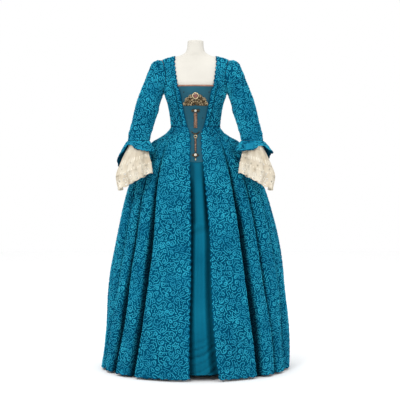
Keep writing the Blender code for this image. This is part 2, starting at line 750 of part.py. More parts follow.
def sleeve_flounce(side, finish, collection):
    """A ruffle of the robe's cloth at the elbow, long behind and arched open in front."""
    turn = np.arange(FLOUNCE_COLUMNS) * 2 * math.pi / FLOUNCE_COLUMNS
    drop = read_table(FLOUNCE[side], "drop", np.degrees(turn))
    spread = read_table(FLOUNCE[side], "spread", np.degrees(turn))
    wave = FLOUNCE_WAVE * np.cos(FLOUNCE_WAVES * turn)
    top = sleeve_ring(1, SLEEVE_RINGS[0], turn)
    away = unit(points(np.cos(turn), np.sin(turn), 0.0))
    rows = []
    for share in FLOUNCE_SHARES:
        row = top + away * (spread * share**0.8 + wave * share)[:, None]
        row[:, 2] -= drop * share + SEAM_GAP
        rows.append(row * (side, 1, 1))
    outer = facing(np.array(rows), side)
    normals = grid_normals(outer, True)
    normals[-1] = level(normals[-1])
    inner = outer - normals * ROBE_WALL
    name = f"sleeve_flounce_{'left' if side < 0 else 'right'}"
    return wall(name, outer, inner, finish, collection, closed=True)


def lace_cuff(side, half, finish, collection):
    """Half of a lace bell, between its seams at the outermost and innermost turn, with cut eyelets."""
    first, last = LACE_HALVES[half]
    count = round((last - first) * LACE_COLUMNS)
    turn = 2 * math.pi * np.linspace(first, last, count + 1)
    scallop = np.abs(np.sin(turn * LACE_SCALLOPS / 2))
    edge = LACE_EDGE_MIDDLE - LACE_EDGE_SLANT * np.cos(turn) - LACE_SCALLOP_DEPTH * scallop
    rows = []
    for share in LACE_SHARES:
        ring = {name: read_table(LACE_RINGS, name, share) for name in LaceRing._fields[1:]}
        reach = 1 + ring["ripple"] * np.cos(LACE_RIPPLES * turn) / ring["half_width"]
        height = LACE_TOP + (edge - LACE_TOP) * share
        x = ring["middle_x"] + ring["half_width"] * reach * np.cos(turn)
        y = ring["middle_y"] + ring["half_depth"] * reach * np.sin(turn)
        rows.append(points(x, y, height) * (side, 1, 1))
    outer = np.array(rows)
    closed_turns = np.concatenate([outer[:, :1], outer, outer[:, -1:]], axis=1)
    closed_turns[:, 0, 1] = 2 * outer[:, 0, 1] - outer[:, 1, 1]
    closed_turns[:, -1, 1] = 2 * outer[:, -1, 1] - outer[:, -2, 1]
    normals = side * grid_normals(closed_turns, False)[:, 1:-1]
    inner = outer - normals * LACE_WALL
    lean = SEAM_GAP / 2 * (-1 if half == "front" else 1)
    for grid in (outer, inner):
        grid[:, 0, 1] = outer[:, 0, 1] + lean
        grid[:, -1, 1] = outer[:, -1, 1] + lean
    outer = facing(outer, side)
    inner = facing(inner, side)
    holes = {(row, column) for row in LACE_EYELET_ROWS for column in range(count) if column % 3 == 1}
    name = f"lace_cuff_{half}_{'left' if side < 0 else 'right'}"
    return wall(name, outer, inner, finish, collection, holes=holes)


def form_torso(finish, collection):
    """The padded figure from hips to neck, one closed and rounded body."""
    angle = np.linspace(-180, 180, FORM_COLUMNS, endpoint=False)
    turn = np.radians(angle)
    rings = []
    for row in FORM_HIPS:
        depth = np.where(np.cos(turn) > 0, row.front, row.back)
        rings.append(points(row.half_width * np.sin(turn), -depth * np.cos(turn), row.height))
    for height in FORM_HEIGHTS:
        heights = np.full(FORM_COLUMNS, height)
        under_stomacher = smoothstep((SATIN_HALF_ANGLE - np.abs(angle)) / SATIN_ANGLE_FADE)
        under_stomacher *= smoothstep((SATIN_HEIGHT - height) / SATIN_HEIGHT_FADE)
        at_waist = smoothstep((WAIST_EASE_ANGLE - np.abs(angle)) / WAIST_EASE_ANGLE_FADE)
        at_waist *= WAIST_EASE * smoothstep((WAIST_EASE_TOP - height) / WAIST_EASE_FADE)
        inset = FORM_INSET + (SATIN_WALL + FORM_GAP) * under_stomacher + at_waist
        rings.append(ring_point(angle, heights) - ring_normal(angle, heights) * inset[:, None])
    top = rings[-1].copy()
    middle = top.mean(axis=0)
    top = middle + (top - middle) * NECK_TOP_SHARE
    top[:, 2] = NECK_TOP
    rings.append(top)
    grid = np.array(rings)
    count = FORM_COLUMNS
    faces = grid_faces(len(rings), count, True)
    faces.append(tuple(reversed(range(count))))
    faces.append(tuple(range((len(rings) - 1) * count, len(rings) * count)))
    return mesh_object("form_torso", grid.reshape(-1, 3), faces, finish, collection)


def cylinder(name, radius, low, high, sides, finish, collection, bevel):
    shape = bmesh.new()
    bmesh.ops.create_cone(
        shape, cap_ends=True, segments=sides, radius1=radius, radius2=radius, depth=high - low
    )
    mesh = bpy.data.meshes.new(name)
    shape.to_mesh(mesh)
    shape.free()
    mesh.materials.append(finish)
    made = bpy.data.objects.new(name, mesh)
    made.location = (0, STAND_Y, (low + high) / 2)
    collection.objects.link(made)
    if bevel:
        edge = made.modifiers.new("rounded rim", "BEVEL")
        edge.width = bevel
        edge.segments = 1
    return made


def lay_on_stomacher(made, lift=0.0):
    """Bends a piece that was modelled flat, its back at y 0 and its face towards -Y, onto the stomacher."""
    flat = np.array([v.co for v in made.data.vertices])
    height = flat[:, 2]
    seat = inset_front(flat[:, 0], height, np.full(len(flat), STOMACHER_INSET))
    off = (-flat[:, 1] + ORNAMENT_GAP + lift)[:, None]
    bent = seat + front_normal(flat[:, 0], height) * off
    for vertex, place in zip(made.data.vertices, bent):
        vertex.co = place
    return made


def fan_brooch(finish, collection):
    """A fan of rounded plumes, like a shell, its back plain."""
    across = np.linspace(0, FAN_PLUMES, 3 * FAN_PLUMES + 1)
    plume = np.abs(np.sin(math.pi * across))
    turn = np.radians(FAN_SPREAD * (1 - 2 * across / FAN_PLUMES))
    reach = FAN_NOTCH + (1 - FAN_NOTCH) * np.sqrt(plume)
    outline = points(-FAN_HALF_WIDTH * np.sin(turn) * reach, 0.0, FAN_RISE * np.cos(turn) * reach)
    rows_front = []
    rows_back = []
    for share in FAN_SHARES:
        row = outline * share + (0, 0, FAN_FOOT)
        rows_back.append(row.copy())
        row[:, 1] = -FAN_THICKNESS * (0.5 + 0.5 * plume * share)
        rows_front.append(row)
    made = wall("brooch_fan", np.array(rows_front), np.array(rows_back), finish, collection)
    return lay_on_stomacher(made)


def torus(name, radius, wire, height, lift, finish, collection):
    bpy.ops.mesh.primitive_torus_add(
        major_radius=radius, minor_radius=wire, major_segments=18, minor_segments=6,
        rotation=(math.pi / 2, 0, 0),
    )
    return placed_primitive(name, (0, -wire, height), lift, finish, collection)


def bead(name, radii, height, lift, finish, collection, segments=10, rings=7):
    bpy.ops.mesh.primitive_uv_sphere_add(segments=segments, ring_count=rings, radius=1.0)
    made = bpy.context.object
    made.scale = radii
    return placed_primitive(name, (0, -radii[1], height), lift, finish, collection)


def placed_primitive(name, place, lift, finish, collection):
    """Bakes a new primitive's turn and size into its mesh, moves it to its place and lays it down."""
    made = bpy.context.object
    bpy.context.view_layer.update()
    made.data.transform(made.matrix_world)
    made.matrix_world.identity()
    made.data.transform(Matrix.Translation(place))
    made.name = name
    made.data.materials.append(finish)
    made.data.shade_smooth()
    for owner in list(made.users_collection):
        owner.objects.unlink(made)
    collection.objects.link(made)
    return lay_on_stomacher(made, lift)


def bar(name, ends, width, thickness, finish, collection):
    """A flat bar down the centre line, with a raised keel."""
    heights = np.linspace(ends[0], ends[1], 4)[:, None]
    x = np.array([-0.5, -0.42, -0.14, 0.0, 0.14, 0.42, 0.5]) * width
    lift = np.array([0.45, 0.85, 0.85, 0.45, 0.85, 0.85, 0.45]) * thickness
    x, height = np.broadcast_arrays(x[None, :], heights)
    front = points(x, -np.broadcast_to(lift, x.shape), height)
    back = points(x, 0.0, height)
    return lay_on_stomacher(wall(name, front, back, finish, collection))


def crescent(finish, collection):
    """A horned crescent, open above: a bent wire that is thick in the middle."""
    curve = bpy.data.curves.new("crescent_link", "CURVE")
    curve.dimensions = "3D"
    curve.bevel_depth = CRESCENT_WIRE
    curve.bevel_resolution = 1
    curve.use_fill_caps = True
    line = curve.splines.new("POLY")
    turns = np.radians(np.linspace(-160, -20, 9))
    line.points.add(len(turns) - 1)
    for point, turn in zip(line.points, turns):
        x = 1.15 * CRESCENT_RADIUS * math.cos(turn)
        z = CRESCENT_HEIGHT + CRESCENT_RADIUS * math.sin(turn)
        point.co = (x, -CRESCENT_WIRE, z, 1)
        point.radius = 0.55 + 0.45 * math.sin(-turn)
    guide = bpy.data.objects.new("crescent_guide", curve)
    collection.objects.link(guide)
    graph = bpy.context.evaluated_depsgraph_get()
    mesh = bpy.data.meshes.new_from_object(guide.evaluated_get(graph))
    shape = bmesh.new()
    shape.from_mesh(mesh)
    bmesh.ops.remove_doubles(shape, verts=shape.verts, dist=0.00001)
    shape.to_mesh(mesh)
    shape.free()
    bpy.data.objects.remove(guide)
    mesh.materials.clear()
    mesh.materials.append(finish)
    made = bpy.data.objects.new("crescent_link", mesh)
    collection.objects.link(made)
    return lay_on_stomacher(made)


def diamond(name, half_width, half_height, middle, thickness, finish, collection):
    """A flat lozenge with a raised middle."""
    rows_front = []
    rows_back = []
    for share in (-1.0, -0.5, 0.0, 0.5, 1.0):
        reach = half_width * (1 - 0.86 * abs(share))
        x = np.array([-reach, 0.0, reach])
        lift = np.array([0.5, 1.0, 0.5]) * thickness
        rows_front.append(points(x, -lift, middle + share * half_height))
        rows_back.append(points(x, 0.0, middle + share * half_height))
    made = wall(name, np.array(rows_front), np.array(rows_back), finish, collection)
    return lay_on_stomacher(made)


def ornament(metal, stone, pearl, collection):
    """The metal ornament sewn down the stomacher, from the fan brooch to the drop at its tip."""
    fan_brooch(metal, collection)
    over_fan = FAN_THICKNESS - SEAM_GAP
    torus("brooch_ring", RING_RADIUS, RING_WIRE, RING_HEIGHT, over_fan, metal, collection)
    stone_radius = RING_RADIUS - RING_WIRE - SEAM_GAP
    stone_radii = (stone_radius, STONE_HALF_DEPTH, stone_radius)
    bead("brooch_stone", stone_radii, RING_HEIGHT, over_fan, stone, collection)
    bow_radii = (LINK_HALF_WIDTH, LINK_HALF_DEPTH, LINK_HALF_HEIGHT)
    bead("link_bow", bow_radii, LINK_HEIGHT, 0.0, metal, collection)
    pearl_lift = 2 * LINK_HALF_DEPTH + SEAM_GAP
    pearl_radii = (PEARL_RADIUS, PEARL_HALF_DEPTH, PEARL_RADIUS)
    bead("link_pearl", pearl_radii, LINK_HEIGHT, pearl_lift, pearl, collection)
    bar("bar_upper", UPPER_BAR, UPPER_BAR_WIDTH, UPPER_BAR_THICKNESS, metal, collection)
    crescent(metal, collection)
    torus("small_loop", LOOP_RADIUS, LOOP_WIRE, LOOP_HEIGHT, 0.0, metal, collection)
    bar("bar_lower", LOWER_BAR, LOWER_BAR_WIDTH, LOWER_BAR_THICKNESS, metal, collection)
    diamond("drop_mount", DROP_HALF_WIDTH, DROP_HALF_HEIGHT, DROP_HEIGHT, DROP_THICKNESS, metal, collection)
    drop_lift = DROP_THICKNESS + SEAM_GAP
    drop_radii = (DROP_STONE_RADIUS, DROP_STONE_HALF_DEPTH, DROP_STONE_RADIUS)
    bead("drop_stone", drop_radii, DROP_HEIGHT, drop_lift, pearl, collection)
    bead("drop_tip", TIP_RADII, TIP_HEIGHT, 0.0, metal, collection, segments=8, rings=5)


def main():
    clear_scene()
    gown = bpy.data.collections.new("evening_gown_on_dress_form")
    bpy.context.scene.collection.children.link(gown)
    lace_cloth = material("corded teal lace", (0.010, 0.180, 0.270), 0.62)
    satin = material("teal satin", (0.008, 0.130, 0.200), 0.38)
    copper = material("copper binding", (0.330, 0.170, 0.110), 0.42, 0.6)
    cream_lace = material("cream lace", (0.780, 0.680, 0.520), 0.80)
    padding = material("form cover", (0.860, 0.840, 0.790), 0.85)
    metal = material("aged brass", (0.300, 0.240, 0.150), 0.38, 0.9)
    red_stone = material("dark red stone", (0.090, 0.015, 0.010), 0.12)
    pearl = material("pale stone", (0.640, 0.620, 0.560), 0.22)
    steel = material("stand steel", (0.600, 0.600, 0.590), 0.35, 0.8)

    for side in (-1, 1):
        bodice_front(side, lace_cloth, gown)
        bodice_back(side, lace_cloth, gown)
        sleeve(side, lace_cloth, gown)
        sleeve_flounce(side, lace_cloth, gown)
        for half in LACE_HALVES:
            lace_cuff(side, half, cream_lace, gown)
        for part in PANEL_ENDS:
            skirt_panel(side, part, lace_cloth, gown)
    stomacher(satin, gown)
    neckline_binding(copper, gown)
    petticoat_front(satin, gown)
    ornament(metal, red_stone, pearl, gown)

    form_torso(padding, gown)
    pole_foot = BASE_THICKNESS + SEAM_GAP
    pole_head = FORM_HIPS[0].height - SEAM_GAP
    cylinder("form_pole", POLE_RADIUS, pole_foot, pole_head, POLE_SIDES, steel, gown, 0.0)
    cylinder("form_base", BASE_RADIUS, 0.0, BASE_THICKNESS, BASE_SIDES, steel, gown, BASE_ROUNDING)


main()
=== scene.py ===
# %% [markdown]
# # A court gown on a dress form
# The gown is an open robe of corded teal lace over a plain satin petticoat. A stiff satin stomacher
# fills the front, with a metal ornament sewn down its middle, and cream lace hangs from the sleeves.
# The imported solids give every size. Each cloth piece is worked out again here from the same few
# tables, much finer, so that its raised cords, scallops and cut lace can be real geometry.

import math
from collections import namedtuple

import bpy
import numpy as np
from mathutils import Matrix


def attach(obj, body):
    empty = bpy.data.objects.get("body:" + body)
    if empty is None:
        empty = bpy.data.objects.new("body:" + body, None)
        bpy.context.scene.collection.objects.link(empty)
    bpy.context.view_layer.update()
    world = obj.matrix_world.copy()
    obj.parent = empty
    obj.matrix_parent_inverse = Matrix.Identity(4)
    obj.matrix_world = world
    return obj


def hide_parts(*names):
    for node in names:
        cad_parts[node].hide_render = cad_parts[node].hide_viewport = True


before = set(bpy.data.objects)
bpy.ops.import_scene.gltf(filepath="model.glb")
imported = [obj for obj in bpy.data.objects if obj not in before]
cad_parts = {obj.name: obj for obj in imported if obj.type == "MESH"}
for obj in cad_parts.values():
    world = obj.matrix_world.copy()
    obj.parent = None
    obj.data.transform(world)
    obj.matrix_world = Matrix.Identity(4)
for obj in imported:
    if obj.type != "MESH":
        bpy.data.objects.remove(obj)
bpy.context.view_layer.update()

# %% [markdown]
# ## The gown's tables
# A dressmaker knows a gown by its measurements. The rings below are the outside of the robe: half
# widths to both sides and reach to front and back, at heights above the floor. Folds are counted in
# degrees round from centre front. A smooth curve through each column gives every size in between.

# %% Measurements of the robe
WAIST = 1.134
UNDERARM = 1.300
SHOULDER_TIP = 1.449
NECK_POINT = 1.470
HEM = 0.008
ROBE_WALL = 0.0025
SATIN_WALL = 0.0016
LACE_WALL = 0.0012
SEAM_GAP = 0.0003
LAYER_GAP = 0.0012
SIDES = {"left": -1, "right": 1}

Ring = namedtuple("Ring", "height left right front back")
ROBE_RINGS = [
    Ring(0.000, 0.443, 0.442, 0.385, 0.386),
    Ring(0.222, 0.419, 0.437, 0.360, 0.370),
    Ring(0.458, 0.398, 0.415, 0.322, 0.343),
    Ring(0.657, 0.363, 0.379, 0.280, 0.308),
    Ring(0.806, 0.331, 0.336, 0.241, 0.270),
    Ring(0.931, 0.287, 0.287, 0.202, 0.226),
    Ring(1.026, 0.234, 0.234, 0.166, 0.180),
    Ring(1.063, 0.203, 0.206, 0.149, 0.153),
    Ring(1.084, 0.166, 0.168, 0.138, 0.128),
    Ring(1.110, 0.132, 0.131, 0.127, 0.104),
    Ring(WAIST, 0.1165, 0.1165, 0.119, 0.092),
    Ring(1.190, 0.1215, 0.1215, 0.123, 0.094),
    Ring(1.240, 0.1310, 0.1310, 0.130, 0.098),
    Ring(1.290, 0.1475, 0.1475, 0.137, 0.102),
    Ring(1.330, 0.1560, 0.1560, 0.133, 0.103),
    Ring(1.370, 0.1590, 0.1590, 0.114, 0.101),
    Ring(1.405, 0.1595, 0.1595, 0.090, 0.095),
    Ring(1.430, 0.1590, 0.1590, 0.066, 0.083),
    Ring(SHOULDER_TIP, 0.1570, 0.1570, 0.046, 0.066),
    Ring(1.461, 0.1300, 0.1300, 0.038, 0.057),
    Ring(NECK_POINT, 0.0960, 0.0960, 0.035, 0.053),
    Ring(1.480, 0.0640, 0.0640, 0.038, 0.051),
    Ring(1.492, 0.0490, 0.0490, 0.039, 0.049),
    Ring(1.515, 0.0430, 0.0430, 0.037, 0.045),
    Ring(1.552, 0.0415, 0.0415, 0.035, 0.043),
]

Opening = namedtuple("Opening", "height left right")
OPENING = [
    Opening(0.000, 0.0300, 0.1080),
    Opening(0.100, 0.0320, 0.0960),
    Opening(0.300, 0.0290, 0.0800),
    Opening(0.440, 0.0250, 0.0740),
    Opening(0.650, 0.0250, 0.0670),
    Opening(0.800, 0.0265, 0.0540),
    Opening(0.970, 0.0290, 0.0380),
    Opening(1.064, 0.0275, 0.0300),
    Opening(1.105, 0.0310, 0.0320),
    Opening(WAIST, 0.0385, 0.0385),
]

KNEE = 0.600
HIP = 1.060
FOLD_REACH = 5.0
Fold = namedtuple("Fold", "waist knee hem deep_hip deep_knee deep_hem")
BACK_FOLDS = [
    Fold(104, 104, 106, 0.005, 0.022, 0.026),
    Fold(122, 122, 124, 0.006, 0.024, 0.022),
    Fold(140, 141, 142, 0.006, 0.022, 0.028),
    Fold(160, 160, 161, 0.007, 0.026, 0.024),
    Fold(180, 180, 180, 0.006, 0.022, 0.026),
]
FOLDS = {
    "left": [
        Fold(40, 35, 42, 0.006, 0.030, 0.030),
        Fold(53, 50, 60, 0.005, 0.026, 0.036),
        Fold(67, 64, 74, 0.005, 0.022, 0.014),
        Fold(84, 83, 89, 0.004, 0.014, 0.020),
        *BACK_FOLDS,
    ],
    "right": [
        Fold(35, 35, 43, 0.008, 0.032, 0.032),
        Fold(50, 50, 58, 0.005, 0.020, 0.020),
        Fold(65, 66, 72, 0.005, 0.014, 0.024),
        Fold(84, 84, 88, 0.004, 0.014, 0.018),
        *BACK_FOLDS,
    ],
}
PANEL_ENDS = {"front": (0, 2), "side": (2, 5), "back": (5, 7), "centre_back": (7, 9)}
print("robe rings:", len(ROBE_RINGS), "folds:", {side: len(folds) for side, folds in FOLDS.items()})

# %% [markdown]
# ## Smooth curves through the tables
# A few measured heights have to become a smooth silhouette. A plain spline overshoots where the waist
# is tight. This curve takes the harmonic mean of the two slopes at each station, and a level slope
# where they change sign, so it never bulges past a measurement.


# %% Read a table anywhere
def smooth_curve(stations, values, at):
    """Cubic between stations: value, value, and end slopes that are harmonic means of the steps' slopes."""
    x = np.asarray(stations, float)
    y = np.asarray(values, float)
    slope = np.diff(y) / np.diff(x)
    tangent = np.concatenate([slope[:1], np.zeros(len(x) - 2), slope[-1:]])
    product = slope[:-1] * slope[1:]
    keeps_on = product > 0
    tangent[1:-1][keeps_on] = 2 * product[keeps_on] / (slope[:-1] + slope[1:])[keeps_on]
    at = np.clip(np.asarray(at, float), x[0], x[-1])
    i = np.clip(np.searchsorted(x, at, side="right") - 1, 0, len(x) - 2)
    step = x[i + 1] - x[i]
    t = (at - x[i]) / step
    rise = t * t * (3 - 2 * t)
    leave = t * (1 - t) ** 2 * step * tangent[i]
    arrive = t * t * (t - 1) * step * tangent[i + 1]
    return y[i] * (1 - rise) + y[i + 1] * rise + leave + arrive


def column(table, name, at):
    """One column of a table at any value of its first column."""
    return smooth_curve([row[0] for row in table], [getattr(row, name) for row in table], at)


def smoothstep(t):
    """Rises from 0 to 1 with level ends, as 3 t^2 - 2 t^3, and stays level outside."""
    t = np.clip(t, 0.0, 1.0)
    return t * t * (3 - 2 * t)


def points(x, y, z):
    """Stretches three arrays to the same grid and joins them as points."""
    return np.stack(np.broadcast_arrays(x, y, z), axis=-1)


def unit(vectors):
    """Each vector divided by its own length."""
    return vectors / np.maximum(np.linalg.norm(vectors, axis=-1, keepdims=True), 1e-12)


def robe(angle, height):
    """Half an ellipse in front and half behind: x = half width * sin(angle), y = -reach * cos(angle)."""
    turn = np.radians(angle)
    left, right, front, back = (column(ROBE_RINGS, name, height) for name in Ring._fields[1:])
    width = np.where(np.sin(turn) < 0, left, right)
    reach = np.where(np.cos(turn) > 0, front, back)
    return points(width * np.sin(turn), -reach * np.cos(turn), height)


def front_of_robe(x, height):
    """The same surface in front, by distance from the centre line: y = -reach * sqrt(1 - (x / width)^2)."""
    width = np.where(x < 0, column(ROBE_RINGS, "left", height), column(ROBE_RINGS, "right", height))
    share = np.clip(x / width, -0.999, 0.999)
    return points(x, -column(ROBE_RINGS, "front", height) * np.sqrt(1 - share**2), height)


ANGLE_STEP = 0.2
WIDTH_STEP = 0.0005
HEIGHT_STEP = 0.0008


def outward(surface, across, height, step):
    """Cross product of small steps across a surface and up it."""
    sideways = surface(across + step, height) - surface(across - step, height)
    upwards = surface(across, height + HEIGHT_STEP) - surface(across, height - HEIGHT_STEP)
    return unit(np.cross(sideways, upwards))


def grid_normals(grid, closed=False):
    """Cross product of neighbours along columns and rows. Rows rise, and columns run anticlockwise."""
    if closed:
        along = np.roll(grid, -1, axis=1) - np.roll(grid, 1, axis=1)
    else:
        along = np.gradient(grid, axis=1)
    return unit(np.cross(along, np.gradient(grid, axis=0)))


print("waist half width:", column(ROBE_RINGS, "right", WAIST))

# %% [markdown]
# ## Cloth as a wall
# Cloth has two faces and a cut edge. A Solidify modifier would thicken a single sheet, but it leaves
# sharp folds uneven and can't know about the neighbouring panel. Here a grid of outer points and its
# copy moved inwards are joined by a rim along every open edge, so lace holes get edges too.


# %% Turn a grid into a closed wall
def quads(rows, columns, closed, present=None):
    """Corner numbers of every cell of a grid, as an array, leaving out the cells that are cut away."""
    across = columns if closed else columns - 1
    row, beside = np.meshgrid(np.arange(rows - 1), np.arange(across), indexing="ij")
    here = row * columns + beside
    ahead = row * columns + (beside + 1) % columns
    cells = np.stack([here, ahead, ahead + columns, here + columns], -1)
    return cells.reshape(-1, 4) if present is None else cells[present]


def halved(cells):
    """Each four-sided cell as two triangles, all first halves before all second ones."""
    return np.concatenate([cells[:, [0, 1, 2]], cells[:, [0, 2, 3]]])


def capped(rows, columns):
    """Triangles of a closed stack of rings, with a fan at each end to one of two points after the rings."""
    first = np.arange(columns)
    last = first + (rows - 1) * columns
    middle = np.full(columns, rows * columns)
    below = np.stack([np.roll(first, -1), first, middle], 1)
    above = np.stack([last, np.roll(last, -1), middle + 1], 1)
    return np.concatenate([halved(quads(rows, columns, True)), below, above])


def wall_faces(cells, count):
    """Outer cells, inner cells turned round, and a rim cell on every edge that only one cell has."""
    start = cells.ravel()
    end = np.roll(cells, -1, axis=1).ravel()
    key = np.minimum(start, end).astype(np.int64) * count + np.maximum(start, end)
    _, first, times = np.unique(key, return_index=True, return_counts=True)
    rim = first[times == 1]
    a = start[rim]
    b = end[rim]
    rims = np.stack([b, a, a + count, b + count], axis=1)
    return np.concatenate([cells, cells[:, ::-1] + count, rims])


def mesh_object(name, vertices, faces, uv=None, smooth=True, shade=None):
    """Puts arrays of vertices and equal-sided faces into a mesh, and drops vertices that no face uses."""
    used, corners = np.unique(faces, return_inverse=True)
    corners = corners.reshape(faces.shape)
    vertices = vertices[used]
    sides = faces.shape[1]
    mesh = bpy.data.meshes.new(name)
    mesh.vertices.add(len(vertices))
    mesh.vertices.foreach_set("co", vertices.astype(np.float32).ravel())
    mesh.loops.add(corners.size)
    mesh.loops.foreach_set("vertex_index", corners.astype(np.int32).ravel())
    mesh.polygons.add(len(corners))
    mesh.polygons.foreach_set("loop_start", np.arange(0, corners.size, sides, dtype=np.int32))
    mesh.update(calc_edges=True)
    mesh.polygons.foreach_set("use_smooth", np.full(len(corners), smooth))
    if uv is not None:
        layer = mesh.uv_layers.new(name="cloth")
        layer.uv.foreach_set("vector", uv[used][corners.ravel()].astype(np.float32).ravel())
    if shade is not None:
        layer = mesh.attributes.new("fold_shade", "FLOAT", "POINT")
        layer.data.foreach_set("value", shade[used].astype(np.float32))
    if smooth:
        mesh.set_sharp_from_angle(angle=math.radians(50))
    made = bpy.data.objects.new(name, mesh)
    bpy.context.scene.collection.objects.link(made)
    return made


def cloth_lengths(grid):
    """Arc length across from the first column, and down from the top row, both in metres."""
    across = np.linalg.norm(np.diff(grid, axis=1), axis=2).cumsum(axis=1)
    across = np.concatenate([np.zeros((len(grid), 1)), across], axis=1)
    down = np.linalg.norm(np.diff(grid, axis=0), axis=2)[::-1].cumsum(axis=0)[::-1]
    down = np.concatenate([down, np.zeros((1, grid.shape[1]))])
    return across, down


def cloth_wall(name, outer, normals, thickness, closed=False, present=None, inner=None, shade=None):
    """A closed wall from outer points and outward directions, with its cloth lengths as UV."""
    rows, columns = outer.shape[:2]
    shade = np.zeros((rows, columns)) if shade is None else shade
    inner = outer - normals * thickness if inner is None else inner
    across, down = cloth_lengths(outer)
    uv = np.stack([across, down], -1).reshape(-1, 2)
    cells = quads(rows, columns, closed, present)
    faces = wall_faces(cells, rows * columns)
    vertices = np.concatenate([outer.reshape(-1, 3), inner.reshape(-1, 3)])
    return mesh_object(name, vertices, faces, np.concatenate([uv, uv]), shade=np.tile(shade.ravel(), 2))


def triangles(thing):
    """Triangles of a mesh: each polygon's corners less two, added up."""
    return sum(len(polygon.vertices) - 2 for polygon in thing.data.polygons)


print("faces of a wall on 3 x 4 points:", len(wall_faces(quads(3, 4, False), 12)))


# %% [markdown]
# ## A sewn piece's flat cut
# A panel's flat size is what a cutter would mark on the cloth: the widest row and the longest column.
# Here the outer grid's arc lengths across and down are measured, and nothing more is made of them.


def declare(grid):
    across, down = cloth_lengths(grid)


def dress(piece, material, slot, *nodes):
    """Gives a piece its finish and its place on the body, and hides the solids that it stands for."""
    piece.data.materials.clear()
    piece.data.materials.append(material)
    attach(piece, "root")
    if nodes:
        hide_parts(*nodes)
    return piece


# %% [markdown]
# ## Finishes
# Every finish is a node tree with detail at its real scale. Cloth reads its UV map, which holds
# metres along the cloth, so a weave follows each fold. The corded lace has two finishes: a dark net
# ground with a fine mesh in its bump, and brighter matt cords that catch the light.


# %% A small kit for node trees
def tree(name, colour, roughness, metallic=0.0):
    """A material with one principled shader, whose constants are set directly on its sockets."""
    material = bpy.data.materials.new(name)
    material.use_nodes = True
    shader = material.node_tree.nodes["Principled BSDF"]
    shader.inputs["Base Color"].default_value = (*colour, 1)
    shader.inputs["Roughness"].default_value = roughness
    shader.inputs["Metallic"].default_value = metallic
    material.diffuse_color = (*colour, 1)
    return material, material.node_tree, shader


def node(nodes, kind, inputs=None, **settings):
    """A node with its properties set. An input that is a socket is linked, and any other is a value."""
    made = nodes.nodes.new(kind)
    for key, value in settings.items():
        setattr(made, key, value)
    for key, value in (inputs or {}).items():
        if isinstance(value, bpy.types.NodeSocket):
            nodes.links.new(value, made.inputs[key])
        else:
            made.inputs[key].default_value = value
    return made


def coordinates(nodes, kind, scale=(1, 1, 1)):
    """The piece's own Object or UV coordinates, in metres, times a scale along each axis."""
    source = node(nodes, "ShaderNodeTexCoord")
    inputs = {"Vector": source.outputs[kind], "Scale": scale}
    return node(nodes, "ShaderNodeMapping", inputs).outputs["Vector"]


def blotches(nodes, where, scale, detail=3.0):
    """Cloudy noise around 0.5, with about so many clouds to a metre."""
    inputs = {"Vector": where, "Scale": scale, "Detail": detail}
    return node(nodes, "ShaderNodeTexNoise", inputs).outputs["Fac"]


def ramp(nodes, value, stops):
    """A colour for each value, blended between stops of a place and its colour."""
    made = node(nodes, "ShaderNodeValToRGB", {"Fac": value})
    elements = made.color_ramp.elements
    while len(elements) < len(stops):
        elements.new(0.5)
    for element, (place, colour) in zip(elements, stops):
        element.position = place
        element.color = (*colour, 1)
    return made.outputs["Color"]


def bump(nodes, shader, height, distance, strength=1.0, under=None):
    """Tilts the shading by a height texture that is so many metres deep, over another bump if given."""
    inputs = {"Height": height, "Distance": distance, "Strength": strength}
    if under is not None:
        inputs["Normal"] = under
    made = node(nodes, "ShaderNodeBump", inputs).outputs["Normal"]
    nodes.links.new(made, shader.inputs["Normal"])
    return made


def maths(nodes, operation, one, other=None):
    """One sum on a socket, with a second socket or number where the sum needs it."""
    made = node(nodes, "ShaderNodeMath", {0: one}, operation=operation)
    if isinstance(other, bpy.types.NodeSocket):
        nodes.links.new(other, made.inputs[1])
    elif other is not None:
        made.inputs[1].default_value = other
    return made.outputs[0]


def threads(nodes, pitch, turn=0.0):
    """A plain weave: the product of two crossed waves, one thread to each pitch in metres."""
    source = node(nodes, "ShaderNodeTexCoord").outputs["UV"]
    place = node(nodes, "ShaderNodeMapping", {"Vector": source, "Rotation": (0, 0, turn)}).outputs["Vector"]
    split = node(nodes, "ShaderNodeSeparateXYZ", {"Vector": place})
    waves = [
        maths(nodes, "SINE", maths(nodes, "MULTIPLY", split.outputs[axis], 2 * math.pi / pitch))
        for axis in ("X", "Y")
    ]
    return maths(nodes, "MULTIPLY", *waves)


# %% [markdown]
# ## Cloth, and the shade that its folds keep
# Between deep folds a real skirt is nearly black, because little light gets in. Soft lamps alone don't
# show that. So each vertex carries a number, fold_shade, which is worked out from the folds' own
# depth, and the finish mixes a dark teal in by it. An attribute goes wherever the piece goes, while
# a shadow painted on the stage would stay behind. All cloths share one recipe: two tones in soft
# blotches, a thread bump and a little sheen.

# %% Mix the cloths
FOLD_DARK = (0.0005, 0.008, 0.016)
FOLD_STRENGTH = 0.96
SATIN_FOLD_STRENGTH = 0.75


def darker_in_folds(nodes, colour, strength):
    """Mixes a near-black teal into a colour by strength * the fold_shade that is written on the mesh."""
    shade = node(nodes, "ShaderNodeAttribute", attribute_name="fold_shade").outputs["Fac"]
    share = maths(nodes, "MULTIPLY", shade, strength)
    mixed = node(nodes, "ShaderNodeMix", data_type="RGBA")
    nodes.links.new(share, mixed.inputs[0])
    nodes.links.new(colour, mixed.inputs[6])
    mixed.inputs[7].default_value = (*FOLD_DARK, 1)
    return mixed.outputs[2]


